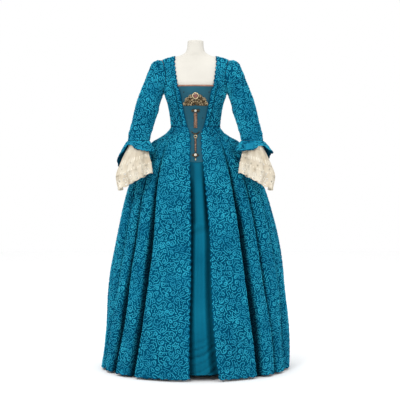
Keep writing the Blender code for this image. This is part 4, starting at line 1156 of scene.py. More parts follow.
# %% Sleeve and ruffle surfaces
SleeveRing = namedtuple("SleeveRing", "outer_x outer_z inner_x inner_z middle_y half_depth")
SLEEVE_RINGS = [
    SleeveRing(0.3105, 1.0660, 0.2110, 1.0660, -0.150, 0.050),
    SleeveRing(0.3060, 1.1020, 0.2040, 1.1020, -0.128, 0.051),
    SleeveRing(0.2950, 1.1560, 0.1920, 1.1460, -0.095, 0.053),
    SleeveRing(0.2810, 1.2200, 0.1790, 1.1960, -0.062, 0.054),
    SleeveRing(0.2640, 1.2800, 0.1680, 1.2400, -0.038, 0.056),
    SleeveRing(0.2430, 1.3380, 0.1600, 1.2680, -0.020, 0.058),
    SleeveRing(0.2210, 1.3990, 0.1545, 1.2860, -0.007, 0.060),
    SleeveRing(0.1970, 1.4400, 0.1525, 1.2945, 0.001, 0.061),
    SleeveRing(0.1790, 1.4500, 0.1520, 1.2965, 0.001, 0.061),
]
ARMHOLE_GAP = 0.0008
FlouncePoint = namedtuple("FlouncePoint", "turn drop spread")
FLOUNCE = {
    "left": [
        FlouncePoint(0, 0.080, 0.043),
        FlouncePoint(25, 0.119, 0.061),
        FlouncePoint(60, 0.092, 0.044),
        FlouncePoint(95, 0.060, 0.026),
        FlouncePoint(140, 0.044, 0.016),
        FlouncePoint(180, 0.046, 0.020),
        FlouncePoint(225, 0.052, 0.034),
        FlouncePoint(270, 0.042, 0.026),
        FlouncePoint(312, 0.020, 0.010),
        FlouncePoint(338, 0.048, 0.028),
        FlouncePoint(360, 0.080, 0.043),
    ],
    "right": [
        FlouncePoint(0, 0.054, 0.043),
        FlouncePoint(22, 0.066, 0.048),
        FlouncePoint(46, 0.086, 0.049),
        FlouncePoint(95, 0.058, 0.026),
        FlouncePoint(140, 0.044, 0.016),
        FlouncePoint(180, 0.040, 0.026),
        FlouncePoint(225, 0.048, 0.040),
        FlouncePoint(270, 0.044, 0.024),
        FlouncePoint(304, 0.021, 0.012),
        FlouncePoint(334, 0.042, 0.032),
        FlouncePoint(360, 0.054, 0.043),
    ],
}
FLOUNCE_WAVES = 9
FLOUNCE_WAVE = 0.005
FLOUNCE_RIPPLE = 0.0012
FLOUNCE_SCALLOP = 0.0035
SLEEVE_CREASE = 0.0022


def sleeve_ring(place, turn):
    """middle + cos(turn) * half of outer minus inner + sin(turn) * half depth, at a place in the table."""
    rows = range(len(SLEEVE_RINGS))
    values = [smooth_curve(rows, [row[k] for row in SLEEVE_RINGS], place) for k in range(6)]
    outer_x, outer_z, inner_x, inner_z, middle_y, half_depth = values
    x = (outer_x + inner_x) / 2 + np.cos(turn) * (outer_x - inner_x) / 2
    z = (outer_z + inner_z) / 2 + np.cos(turn) * (outer_z - inner_z) / 2
    return points(x, middle_y + np.sin(turn) * half_depth, z)


def sleeve(columns, per_ring):
    """The table's rings, then straight on to the armhole, with creases moved out along the normals."""
    turn = np.arange(columns) * 2 * math.pi / columns
    last = len(SLEEVE_RINGS) - 1
    place = np.linspace(0, last, last * per_ring + 1)[:, None]
    grid = sleeve_ring(place, turn[None, :])
    seam = robe(*armhole(np.degrees(turn)))
    seam[:, 0] += ARMHOLE_GAP
    share = np.linspace(0, 1, 5)[1:, None, None]
    grid = np.concatenate([grid, grid[-1] * (1 - share) + seam * share])
    down = np.arange(len(grid))[:, None] / per_ring
    calm = smoothstep(down / 1.2) * smoothstep((last - down) / 1.5)
    crease = np.maximum(np.sin(1.9 * down + 2.0 * np.sin(turn + 0.6) + turn), 0) ** 2
    crease += 0.7 * np.maximum(np.sin(3.3 * down - 2.4 * np.cos(turn) + 1.0), 0) ** 3
    return grid + grid_normals(grid, True) * (SLEEVE_CREASE * calm * crease)[..., None]


def flounce(side, columns, rows):
    """The elbow ring moved out by spread * share^0.8 with waves, and down by drop * share, scalloped."""
    turn = np.arange(columns) * 2 * math.pi / columns
    drop = column(FLOUNCE[side], "drop", np.degrees(turn))
    spread = column(FLOUNCE[side], "spread", np.degrees(turn))
    away = unit(points(np.cos(turn), np.sin(turn), 0.0))
    share = np.linspace(1, 0, rows)[:, None]
    wave = FLOUNCE_WAVE * np.cos(FLOUNCE_WAVES * turn) + FLOUNCE_RIPPLE * np.sin(23 * turn + 5.0)
    grid = sleeve_ring(0.0, turn)[None] + away[None] * (spread * share**0.8 + wave * share)[..., None]
    scallop = FLOUNCE_SCALLOP * (1 - np.abs(np.sin(13 * turn))) * np.clip((share - 0.8) / 0.2, 0, 1)
    grid[..., 2] -= drop * share + SEAM_GAP - scallop
    return grid


def looped(grid):
    """A closed grid with its first column once more at the end."""
    return np.concatenate([grid, grid[:, :1]], axis=1)


def faced(grid, sign):
    """Mirrors a grid to the left side and turns its columns round, so that it still faces outwards."""
    return grid if sign > 0 else (grid * (-1, 1, 1))[:, ::-1]


print("width at the elbow:", round(SLEEVE_RINGS[0].outer_x - SLEEVE_RINGS[0].inner_x, 3), "m")


# %% Build the sleeves and their ruffles
def sew_round(name, grid, elbow_row, origin):
    """A closed piece of corded lace. Its row at the elbow faces level, so sleeve and ruffle meet."""
    normals = grid_normals(grid, True)
    normals[elbow_row] = unit(normals[elbow_row] * (1, 1, 0))
    wall = cloth_wall(f"{name}_net", grid, normals, ROBE_WALL, closed=True)
    piece = dress(wall, NET, "corded_lace", name)
    cords = cords_on(f"{name}_cords", looped(grid), looped(normals), origin)
    declare(looped(grid))


for side, sign in SIDES.items():
    grid = faced(sleeve(64, 8), sign)
    sew_round(f"sleeve_{side}", grid, 0, (0.13, 0.05))
    grid = faced(flounce(side, 180, 26), sign)
    sew_round(f"sleeve_flounce_{side}", grid, -1, (0.21, 0.17))

# %% [markdown]
# ## Satin front
# The stomacher is a stiff plain panel under both edges of the bodice, and the petticoat shows below
# it in the robe's opening. Both lie a fixed way behind the robe, so they are the robe's own front
# surface moved inwards. It is read by distance from the centre line, as a cutter would measure it.

# %% Satin surfaces
STOMACHER_TOP = 1.3225
STOMACHER_TIP = 0.968
STOMACHER_INSET = ROBE_WALL + LAYER_GAP
PETTICOAT_INSET = STOMACHER_INSET + SATIN_WALL + LAYER_GAP
STOMACHER_TUCK = 0.007
TIP_ROUNDING = 0.006
PUCKER = 0.0004
BINDING_DROP = 0.004
BINDING_RISE = 0.0022
BINDING_HALF_LENGTH = 0.090
BINDING_RIB = 0.0003
BINDING_RIB_PITCH = 0.006
EDGE_ROWS = [row for row in FRONT_ROWS if row.edge_height <= 1.330]


def inset_front(x, height, inset):
    """The robe's front surface, moved in along its own outward direction."""
    normals = outward(front_of_robe, x, height, WIDTH_STEP)
    return front_of_robe(x, height) - normals * np.asarray(inset)[..., None]


def front_edges(height):
    """Both front edges of the robe: the bodice's table above the waist and the opening's below."""
    above = smooth_curve([row.edge_height for row in EDGE_ROWS], [row.edge for row in EDGE_ROWS], height)
    left = np.where(height > WAIST, above, column(OPENING, "left", height))
    right = np.where(height > WAIST, above, column(OPENING, "right", height))
    return -left, right


def under_edges(heights, across, tuck):
    """Places from edge to edge of the opening, and further by a tuck under both."""
    left, right = front_edges(heights[:, None])
    return left - tuck + (right - left + 2 * tuck) * across[None, :]


print("opening at the waist:", [edge.round(4).tolist() for edge in front_edges(np.array([WAIST]))])

# %% Build the stomacher
heights = np.linspace(STOMACHER_TIP, STOMACHER_TOP - BINDING_DROP, 130)
across = np.linspace(0, 1, 56)
x = under_edges(heights, across, STOMACHER_TUCK)
height = np.broadcast_to(heights[:, None], x.shape).copy()
rounding = TIP_ROUNDING * (1 - 4 * across * (1 - across))
height += rounding * np.clip(1 - (height - STOMACHER_TIP) / 0.02, 0, 1)
pucker = PUCKER * np.sin(260 * height + 3 * np.sin(9 * across)) * smoothstep((1.31 - height) / 0.05)
grid = inset_front(x, height, STOMACHER_INSET + np.abs(pucker))
wall = cloth_wall("stomacher_satin", grid, grid_normals(grid), SATIN_WALL)
stomacher = dress(wall, GREY_SATIN, "satin", "stomacher")
declare(grid)

# %% [markdown]
# ## The petticoat
# Plain satin shows every movement of the cloth. This one falls in upright folds that grow towards
# the floor, lies back from the robe's edges, sags across once above the knee, and breaks into
# slanting creases near the ground. Each of these is one term that moves the surface inwards, and the
# same terms give its fold_shade. The shaded strip is wider on the left above and on the right below.

# %% Shape the petticoat
PETTICOAT_HEM = 0.030
PETTICOAT_TOP = 1.125
FOLD_DEEP = 0.006
CREASE_DEEP = 0.0050
SIDE_DEEP = 0.020
SAG_DEEP = 0.007
SAG_HEIGHT = 0.668
SAG_WIDTH = 0.014
UPPER_HEIGHT = 0.690
TUCK_AT_HEM = 0.075
TUCK_AT_WAIST = 0.030
MIDDLE_DRIFT = 0.005

# The panel runs from under one edge of the opening to under the other, tucked further at the hem.
heights = np.linspace(PETTICOAT_HEM, PETTICOAT_TOP, 150)
across = np.linspace(0, 1, 96)
tuck = smooth_curve((0.0, WAIST), (TUCK_AT_HEM, TUCK_AT_WAIST), heights)[:, None]
x = under_edges(heights, across, tuck)
height = np.broadcast_to(heights[:, None], x.shape)

# Five upright folds, sin^2 across the panel, that grow from just under the waist.
hang = smoothstep((0.95 - height) / 0.5)
fold = np.sin(across * 5 * math.pi + 0.5 * np.sin(4 * height)) ** 2

# Beside its middle line, which drifts from one side to the other, the panel lies further back.
left, right = front_edges(heights[:, None])
middle = (left + right) / 2 - MIDDLE_DRIFT * np.sin(5.5 * height)
from_middle = np.abs(x - middle) / ((right - left) / 2)
beside = smoothstep((from_middle - 0.35) / 0.75)
below = smoothstep((0.93 - height) / 0.10)

# One slanting sag, a bell curve in height, and two rows of slanting creases near the hem.
sag = np.exp(-(((height - SAG_HEIGHT - 0.25 * (x - middle)) / SAG_WIDTH) ** 2))
slant = height - 0.45 * x + 0.006 * np.sin(50 * x)
crease = np.maximum(np.sin(190 * slant), 0) ** 2 + 0.6 * np.maximum(np.sin(117 * slant + 1), 0) ** 2
crease *= smoothstep((0.26 - height - 0.6 * np.abs(x - 0.03)) / 0.12)

# How far behind the robe it hangs: a smooth curve by height, and every term by its own depth.
inset = smooth_curve((0.0, 0.60, 0.95, WAIST), (0.020, 0.015, PETTICOAT_INSET, PETTICOAT_INSET), height)
inset = inset + FOLD_DEEP * hang * fold + CREASE_DEEP * crease
inset += (SIDE_DEEP * beside + SAG_DEEP * sag) * below
grid = inset_front(x, height, inset)
normals = grid_normals(grid)
print("petticoat behind the robe:", inset.min().round(4), "to", inset.max().round(4), "m")

# %% Shade and dress the petticoat
# The same creases, sides and sag again as darkness, stronger above the sag and at both ends.
upper = smoothstep((height - UPPER_HEIGHT) / 0.030 + 0.5)
ends = 0.30 * smoothstep((height - 0.840) / 0.080) + 0.22 * smoothstep((0.110 - height) / 0.120)
under_tip = smoothstep((1.00 - height) / 0.06)
dark = smoothstep((from_middle - 0.35 + 0.20 * upper) / (0.75 - 0.15 * upper)) * under_tip
shade = 0.30 * crease + (0.65 + 0.15 * upper) * dark + (0.10 * upper + 0.30 * sag) * below + ends
shade = np.minimum(shade, 1)
wall = cloth_wall("petticoat_satin", grid, normals, SATIN_WALL, shade=shade)
petticoat = dress(wall, SATIN, "satin", "petticoat_front")
declare(grid)

# %% [markdown]
# ## The bound edge
# The stomacher's top is bound with a narrow strip of copper-brown satin, pulled tight over the edge
# so that it ribs. It is sewn on, so it is a short wall of its own with upright ribs.

# %% Build the binding
heights = np.linspace(STOMACHER_TOP - BINDING_DROP + SEAM_GAP, STOMACHER_TOP + BINDING_RISE, 7)
x, height = np.meshgrid(np.linspace(-BINDING_HALF_LENGTH, BINDING_HALF_LENGTH, 121), heights)
rib = BINDING_RIB * np.sin(2 * math.pi * x / BINDING_RIB_PITCH)
grid = inset_front(x, height, STOMACHER_INSET - BINDING_RIB + rib)
inner = inset_front(x, height, np.full(x.shape, STOMACHER_INSET + SATIN_WALL))
wall = cloth_wall("neckline_binding_satin", grid, grid_normals(grid), SATIN_WALL, inner=inner)
dress(wall, BINDING, "binding", "neckline_binding")
print("binding:", triangles(wall), "triangles")

# %% [markdown]
# ## Lace at the elbow
# A bell of cream lace hangs from inside each sleeve, in a front and a back half. Its holes are cut
# through the wall, because light shows through real lace. The grid is fine enough that a
# hole is simply a few cells left out, and raised thread outlines the flowers and the scalloped edge.

# %% Lace surfaces
LaceRing = namedtuple("LaceRing", "share middle_x middle_y half_width half_depth ripple")
LACE_RINGS = [
    LaceRing(0.00, 0.2583, -0.1414, 0.0462, 0.0462, 0.0000),
    LaceRing(0.12, 0.2620, -0.1545, 0.0445, 0.0440, 0.0010),
    LaceRing(0.45, 0.2750, -0.1730, 0.0600, 0.0490, 0.0055),
    LaceRing(0.75, 0.2825, -0.1870, 0.0755, 0.0520, 0.0085),
    LaceRing(1.00, 0.2770, -0.1950, 0.0715, 0.0520, 0.0100),
]
LACE_TOP = 1.080
LACE_EDGE_MIDDLE = 0.884
LACE_EDGE_SLANT = 0.040
LACE_SCALLOPS = 16
LACE_SCALLOP_DEPTH = 0.007
LACE_RIPPLES = 9
LACE_HALVES = {"front": (0.5, 1.0), "back": (0.0, 0.5)}
LACE_COLUMNS = 20
LACE_ROWS = np.concatenate([np.linspace(1.0, 0.52, 46), np.linspace(0.50, 0.0, 22)])
SCALLOP_WIDTH = 0.026
DOT_SPACING = 0.024
BELL_LENGTH = 0.20
EYELET = 0.0034
PETAL = 0.0024
PETAL_RING = 0.0066
DOT = 0.0026
EYELET_AT = 0.950
FLOWER_AT = 0.855
DOTS_AT = (0.745, 0.645, 0.545)


def lace_bell(share, turn):
    """Rings from the table, rippled by cos(ripples * turn), down to a scalloped slanting edge."""
    scallop = np.abs(np.sin(turn * LACE_SCALLOPS / 2)) ** 0.7
    edge = LACE_EDGE_MIDDLE - LACE_EDGE_SLANT * np.cos(turn) - LACE_SCALLOP_DEPTH * scallop
    middle_x, middle_y, half_width, half_depth, ripple = (
        column(LACE_RINGS, name, share) for name in LaceRing._fields[1:]
    )
    puff = 0.7 * np.cos(LACE_RIPPLES * turn) + 0.5 * np.cos(5 * turn + 2.0)
    puff = puff + 0.25 * np.sin(17 * turn + 6 * share)
    reach = 1 + 1.15 * ripple * puff / half_width
    x = middle_x + half_width * reach * np.cos(turn)
    y = middle_y + half_depth * reach * np.sin(turn)
    return points(x, y, LACE_TOP + (edge - LACE_TOP) * share)


def lace_holes(across, share):
    """Cells cut away: an eyelet low in each scallop, a ring of five petals above it, and dots higher up."""
    cut = np.zeros(across.shape, bool)
    in_scallop = across % 1 - 0.5
    cut |= np.hypot(in_scallop * SCALLOP_WIDTH, (share - EYELET_AT) * BELL_LENGTH) < EYELET
    for petal in range(5):
        way = 2 * math.pi * petal / 5 + 0.3
        across_petal = in_scallop * SCALLOP_WIDTH - PETAL_RING * math.cos(way)
        up_petal = (share - FLOWER_AT) * BELL_LENGTH - PETAL_RING * math.sin(way)
        cut |= np.hypot(across_petal, up_petal) < PETAL
    for level in DOTS_AT:
        half = (across + 0.5 * (0.6 < level < 0.7)) % 1 - 0.5
        cut |= np.hypot(half * DOT_SPACING, (share - level) * BELL_LENGTH) < DOT
    return cut


FLOWER_THREAD = (0.0092, 5)
RING_THREAD = (0.0044, 0.0044, 1.0, 9)
SNAIL_THREAD = (0.001, 0.0042, 1.3, 9)
SIDE_LEAF = (0.016, 0.006)
LONG_LEAF = (0.022, 0.007)
BETWEEN_LEAF = (0.018, 0.006)


def lace_lines(width, length, count):
    """Thread drawn flat: a flower and a ring in each scallop, snails beside it, and leaves above."""
    lines = []
    pitch = width / count
    for scallop in range(count):
        middle = (scallop + 0.5) * pitch
        lines.append(placed(rosette(*FLOWER_THREAD), np.array([middle, length * 0.865]), 0.3))
        lines.append(placed(spiral(*RING_THREAD), np.array([middle, length * 0.955]), 0.0))
        for flip in (-1, 1):
            lines.append(placed(leaf(*SIDE_LEAF), np.array([middle, length * 0.80]), -1.1, flip))
            beside = np.array([middle + flip * 0.30 * pitch, length * 0.72])
            lines.append(placed(spiral(*SNAIL_THREAD), beside, 1.0, flip))
        lines.append(placed(leaf(*LONG_LEAF), np.array([middle, length * 0.56]), -1.57))
        between = np.array([middle + 0.5 * pitch, length * 0.47])
        lines.append(placed(leaf(*BETWEEN_LEAF), between, 1.57))
    return lines


print("flat lines on one half of a cuff:", len(lace_lines(0.30, 0.26, LACE_SCALLOPS // 2)))

# %% Build the lace
THREAD_WIDTH = 0.0017
THREAD_HEIGHT = 0.0007
THREAD_EDGE = 0.0012
THREAD_SAMPLING = 0.002


def lace_threads(name, grid, normals, count):
    """The lace's drawn lines on one half, narrowed row by row to the width that the bell has there."""
    panel = even_grid(grid, normals, THREAD_SAMPLING)
    _, width, down, _ = panel
    lines = lace_lines(width.max(), down[0], count)
    place = np.concatenate(lines)
    place[:, 0] *= np.interp(place[:, 1], down[::-1], width[::-1]) / width.max()
    which = np.repeat(np.arange(len(lines)), [len(line) for line in lines])
    made = laid_lines(name, panel, place, which, THREAD_EDGE, THREAD_WIDTH, THREAD_HEIGHT)
    return dress(made, CREAM_THREAD, "cream_lace")


for side, sign in SIDES.items():
    for half, (first, last) in LACE_HALVES.items():
        scallops = round((last - first) * LACE_SCALLOPS)
        columns = scallops * LACE_COLUMNS + 1
        across = np.linspace(0, scallops, columns)
        turn = 2 * math.pi * np.linspace(first, last, columns)
        step = turn[1] - turn[0]
        wide = np.concatenate([[turn[0] - step], turn, [turn[-1] + step]])
        grid = lace_bell(LACE_ROWS[:, None], wide[None, :])
        normals = grid_normals(grid)[:, 1:-1]
        grid = grid[:, 1:-1]
        lean = SEAM_GAP / 2 * (-1 if half == "front" else 1)
        grid[:, [0, -1], 1] += lean
        # The seam between the halves stays flat, so the inner face keeps the outer face's depth there.
        inner = grid - normals * LACE_WALL
        inner[:, [0, -1], 1] = grid[:, [0, -1], 1]
        cell_across = (across[1:] + across[:-1]) / 2
        cell_share = (LACE_ROWS[1:] + LACE_ROWS[:-1]) / 2
        present = ~lace_holes(*np.meshgrid(cell_across, cell_share))
        if sign < 0:
            grid, normals, inner = (
                grid[:, ::-1] * (-1, 1, 1), normals[:, ::-1] * (-1, 1, 1), inner[:, ::-1] * (-1, 1, 1)
            )
            present = present[:, ::-1]
        name = f"lace_cuff_{half}_{side}"
        made = cloth_wall(f"{name}_cloth", grid, normals, LACE_WALL, present=present, inner=inner)
        dress(made, CREAM, "cream_lace", name)
        threads_on = lace_threads(f"{name}_thread", grid, normals, scallops)
        declare(grid)

# %% [markdown]
# ## The dress form
# The figure under the gown is smooth and has no limbs. It stays clear of the cloth by a fixed gap,
# so its surface is the robe's own ring moved inwards. A jersey cover is pulled over padding, so the
# finish is a fine matt knit with soft, large blotches.

# %% Build the torso
FormRing = namedtuple("FormRing", "height half_width front back")
FORM_HIPS = [
    FormRing(0.850, 0.150, 0.105, 0.100),
    FormRing(0.872, 0.166, 0.118, 0.112),
    FormRing(0.940, 0.172, 0.120, 0.118),
    FormRing(1.010, 0.160, 0.116, 0.112),
    FormRing(1.070, 0.128, 0.108, 0.096),
    FormRing(1.105, 0.112, 0.104, 0.086),
]
FORM_GAP = 0.0019
FORM_INSET = ROBE_WALL + FORM_GAP
NECK_SHOULDER = 1.537
NECK_TOP = 1.543
SATIN_ANGLE = 62
SATIN_EDGE = 1.345
WAIST_EASE = 0.003


def form_ring(angle, height):
    """The robe's ring moved in by the wall and the gap, and by one layer more where the satin lies."""
    satin_here = smoothstep((SATIN_ANGLE - np.abs(angle)) / 12) * smoothstep((SATIN_EDGE - height) / 0.015)
    at_waist = WAIST_EASE * smoothstep((1.20 - height) / 0.06) * smoothstep((90 - np.abs(angle)) / 40)
    inset = FORM_INSET + (SATIN_WALL + FORM_GAP) * satin_here + at_waist
    return robe(angle, height) - outward(robe, angle, height, ANGLE_STEP) * inset[..., None]


def rounded(name, rings):
    """A closed body from rings: triangles between them, and a fan to a middle point at each end."""
    ends = np.stack([rings[0].mean(axis=0), rings[-1].mean(axis=0)])
    vertices = np.concatenate([rings.reshape(-1, 3), ends])
    return mesh_object(name, vertices, capped(*rings.shape[:2]))


# The hips have their own table, and three rings blend them into the robe's ring at the waist.
turn = np.linspace(-180, 180, 96, endpoint=False)[None, :]
hips = np.linspace(FORM_HIPS[0].height, FORM_HIPS[-1].height, 26)[:, None]
wide, front, back = (column(FORM_HIPS, name, hips) for name in ("half_width", "front", "back"))
reach = np.where(np.cos(np.radians(turn)) > 0, front, back)
lower = points(wide * np.sin(np.radians(turn)), -reach * np.cos(np.radians(turn)), hips)
upper = form_ring(turn, np.linspace(WAIST, NECK_SHOULDER, 88)[:, None])
share = np.array([0.25, 0.5, 0.75])[:, None, None]
between = lower[-1] * (1 - share) + upper[0] * share

# The neck is rounded off over four rings that draw in by a cosine and rise by a sine.
crown = upper[-1]
middle = crown.mean(axis=0)
tops = []
for bend in np.radians([22, 45, 68, 88]):
    ring = middle + (crown - middle) * (0.72 + 0.28 * math.cos(bend))
    ring[:, 2] = NECK_SHOULDER + (NECK_TOP - NECK_SHOULDER) * math.sin(bend)
    tops.append(ring)
foot = lower[0]
centre = foot.mean(axis=0)
bottoms = [centre + (foot - centre) * scale for scale in (0.5, 0.9)]
rings = np.concatenate([np.stack(bottoms), lower, between, upper, np.stack(tops)])
torso = rounded("form_torso_jersey", rings)
dress(torso, JERSEY, "form_cover", "form_torso")
print("torso:", triangles(torso), "triangles")

# %% [markdown]
# ## The ornament
# A metal ornament is pinned down the middle of the stomacher: a fan, a ring with a dark stone, a
# bow with a pale bead, two bars, a crescent, a loop and a diamond drop. Each part is modelled flat,
# with relief, and then laid on the stomacher's curve. Its design is this model's own.

# %% Lay metal on the stomacher
ORNAMENT_GAP = 0.0006


def laid(flat, lift=0.0):
    """Flat points, their face towards -Y, moved out from the stomacher's surface by gap, lift and relief."""
    x, height = flat[..., 0], flat[..., 2]
    seat = inset_front(x, height, np.full(x.shape, STOMACHER_INSET))
    off = ORNAMENT_GAP + lift - flat[..., 1]
    return seat + outward(front_of_robe, x, height, WIDTH_STEP) * off[..., None]


def metalwork(name, shape, material, slot, *nodes, lift=0.0):
    """A flat shape, as vertices and faces, laid on the stomacher and given its finish."""
    vertices, faces = shape
    return dress(mesh_object(name, laid(vertices, lift), faces), material, slot, *nodes)


def plate(front, back):
    """The closed wall between two grids of the same size."""
    vertices = np.concatenate([front.reshape(-1, 3), back.reshape(-1, 3)])
    return vertices, wall_faces(quads(*front.shape[:2], False), front[..., 0].size)


def hoop(radius, wire, height, count):
    """A circle of points round a height, at a wire's thickness in front of the surface."""
    turn = np.arange(count) * 2 * math.pi / count
    return points(radius * np.cos(turn), -wire, height + radius * np.sin(turn))


def tube(path, radius, sides=8, closed=False):
    """A round wire along a flat path: path + radius * (cos * across + sin * toward the viewer)."""
    path = np.asarray(path, float)
    radius = np.broadcast_to(radius, len(path))
    if closed:
        along = np.roll(path, -1, axis=0) - np.roll(path, 1, axis=0)
    else:
        along = np.gradient(path, axis=0)
    along = unit(along)
    toward = np.array([0.0, -1.0, 0.0])
    side = unit(np.cross(along, toward))
    turn = np.arange(sides) * 2 * math.pi / sides
    rings = path[:, None] + radius[:, None, None] * (
        np.cos(turn)[None, :, None] * side[:, None] + np.sin(turn)[None, :, None] * toward
    )
    if closed:
        faces = halved(quads(len(path) + 1, sides, True)) % (len(path) * sides)
        return rings.reshape(-1, 3), faces
    ends = np.stack([path[0], path[-1]])
    return np.concatenate([rings.reshape(-1, 3), ends]), capped(len(path), sides)


def dome(middle, radii, rows=8, columns=20):
    """A whole ellipsoid: radii times the unit sphere's rings, closed by a fan at both poles."""
    up = np.linspace(-90, 90, rows + 2)[1:-1]
    turn = np.arange(columns) * 2 * math.pi / columns
    up = np.radians(up)[:, None]
    ring = points(np.cos(up) * np.cos(turn), np.cos(up) * np.sin(turn), np.sin(up) + 0 * turn)
    vertices = np.concatenate([ring.reshape(-1, 3), [[0, 0, -1], [0, 0, 1]]]) * radii + middle
    return vertices, capped(rows, columns)


def seated(height, radii, rows, columns):
    """A dome on the centre line, whose back just touches the surface."""
    return dome((0, -radii[1], height), radii, rows, columns)


def joined(parts):
    """Several shapes as one: vertices end to end, each part's faces counted on from the last."""
    starts = np.cumsum([0] + [len(vertices) for vertices, _ in parts[:-1]])
    faces = np.concatenate([faces + start for (_, faces), start in zip(parts, starts)])
    return np.concatenate([vertices for vertices, _ in parts]), faces


def beads(centres, radius, toward):
    """The same small dome at every centre, its middle raised toward the viewer."""
    return joined([dome(np.array([x, -toward, z]), radius, 4, 8) for x, z in centres])


print("triangles of one bead:", len(dome((0, 0, 0), 1.0, 4, 8)[1]))

# %% [markdown]
# ## The brooch
# The fan is a cast plate of seven plumes with curled wire and beads soldered on, under a beaded ring
# that holds a dark red stone. The plate's outline and relief are one formula across the plumes, so
# its notches, ridges and cross grooves stay in step, and each wire is a flat spiral given thickness.

# %% Fan, ring and stone
FAN_FOOT = 1.2285
FAN_HALF_WIDTH = 0.0585
FAN_RISE = 0.0545
FAN_SPREAD = 92.0
FAN_PLUMES = 7
FAN_NOTCH = 0.84
FAN_THICKNESS = 0.0045
RING_HEIGHT = 1.2735
RING_RADIUS = 0.0125
RING_WIRE = 0.0032
STONE_HALF_DEPTH = 0.0036
CURLS = ((0.80, 0.0062, 1), (0.56, 0.0048, -1), (0.36, 0.0034, 1))
CURL_WIRE = 0.00075
CURL_FRONT = 0.0042
RIM_WIRE = 0.0011
RIM_FRONT = 0.0036
TIP_BEAD = 0.0021

across = np.linspace(0, FAN_PLUMES, 20 * FAN_PLUMES + 1)
plume = np.abs(np.sin(math.pi * across))
turn = np.radians(FAN_SPREAD * (1 - 2 * across / FAN_PLUMES))
reach = FAN_NOTCH + (1 - FAN_NOTCH) * np.sqrt(plume)
outline = points(-FAN_HALF_WIDTH * np.sin(turn) * reach, 0.0, FAN_RISE * np.cos(turn) * reach)
share = np.linspace(0.07, 1.0, 22)[:, None, None]
front = outline[None] * share
front[..., 2] += FAN_FOOT
back = front.copy()
relief = 0.5 + 0.32 * plume * share[..., 0] + 0.16 * plume * np.sin(34 * share[..., 0]) ** 2
front[..., 1] = -FAN_THICKNESS * relief * 0.8
metalwork("fan_plate", plate(front, back), BRASS, "ornament_metal", "brooch_fan")

curls = []
for place in range(FAN_PLUMES):
    way = math.radians(FAN_SPREAD * (1 - 2 * (place + 0.5) / FAN_PLUMES))
    for far, size, flip in CURLS:
        middle = np.array([-FAN_HALF_WIDTH * math.sin(way) * far, FAN_FOOT + FAN_RISE * math.cos(way) * far])
        flat = placed(spiral(0.15 * size, size, 1.6, 20), middle, way, flip)
        curls.append(tube(points(flat[:, 0], -CURL_FRONT, flat[:, 1]), CURL_WIRE, 6))
rim = outline[2:-2] * 0.975
curls.append(tube(points(rim[:, 0], -RIM_FRONT, rim[:, 2] + FAN_FOOT), RIM_WIRE, 6))
tips = outline[10::20] * 0.90
curls.append(beads(tips[:, [0, 2]] + (0, FAN_FOOT), TIP_BEAD, CURL_FRONT))
metalwork("fan_wirework", joined(curls), BRIGHT_BRASS, "ornament_metal")
print("wires and beads on the fan:", len(curls) - 1 + len(tips))

over_fan = FAN_THICKNESS - SEAM_GAP
circle = hoop(RING_RADIUS, RING_WIRE, RING_HEIGHT, 64)
beaded = RING_WIRE * (0.86 + 0.14 * np.cos(16 * np.arange(64) * 2 * math.pi / 64))
shape = tube(circle, beaded, 12, True)
metalwork("brooch_ring_beaded", shape, BRIGHT_BRASS, "ornament_metal", "brooch_ring", lift=over_fan)
stone_radius = RING_RADIUS - RING_WIRE - SEAM_GAP
shape = seated(RING_HEIGHT, (stone_radius, STONE_HALF_DEPTH, stone_radius), 14, 32)
metalwork("brooch_stone_cut", shape, GARNET, "red_stone", "brooch_stone", lift=over_fan)

# %% [markdown]
# ## Studs, links and drop
# Below the brooch hang a bow with a pale bead, two flat bars, a crescent, a loop and a diamond drop.
# On the real stomacher each is stitched down on its own, so each is a piece of its own here. Wires
# are tubes along a path, beads and stones are squashed spheres, and the bars are strips with rails.

# %% Studs on the stomacher
STUDS = [(-0.0553, 1.2907), (0.0636, 1.2907), (0.0346, 1.1710)]
STUD_RADIUS = 0.0026
metalwork("stomacher_studs", beads(STUDS, STUD_RADIUS, 0.0), BRASS, "ornament_metal")
print("studs:", len(STUDS))

# %% Bow, bars, crescent, loop and drop
LINK_HEIGHT = 1.2050
LINK_SIZE = (0.0215, 0.0022, 0.0046)
SCROLLS = ((0.0052, 0.0145), (0.0034, 0.0075))
SCROLL_RISE = 0.0034
SCROLL_WIRE = 0.0008
PEARL_SIZE = (0.0058, 0.0030, 0.0058)
UPPER_BAR = (1.1260, 1.1955)
UPPER_BAR_SIZE = (0.018, 0.0036)
LOWER_BAR = (1.0165, 1.0755)
LOWER_BAR_SIZE = (0.010, 0.0030)
CRESCENT_HEIGHT = 1.1160
CRESCENT_RADIUS = 0.0175
CRESCENT_WIRE = 0.0030
LOOP_HEIGHT = 1.0855
LOOP_RADIUS = 0.0068
LOOP_WIRE = 0.0022
DROP_HEIGHT = 1.0000
DROP_HALF_WIDTH = 0.0190
DROP_HALF_HEIGHT = 0.0118
DROP_WIRE = 0.0015
DROP_FRONT = 0.0017
INNER_SHARE = 0.62
INNER_WIRE = 0.0012
INNER_FRONT = 0.0014
DROP_PLATE = (0.0115, 0.0010, 0.0085)
CORNER_BEAD = 0.0022
DROP_STONE = (0.0065, 0.0026, 0.0065)
TIP_HEIGHT = 0.9800
TIP_SIZE = (0.0030, 0.0020, 0.0050)
OVER_BOW = 0.0047
OVER_DROP = 0.0033

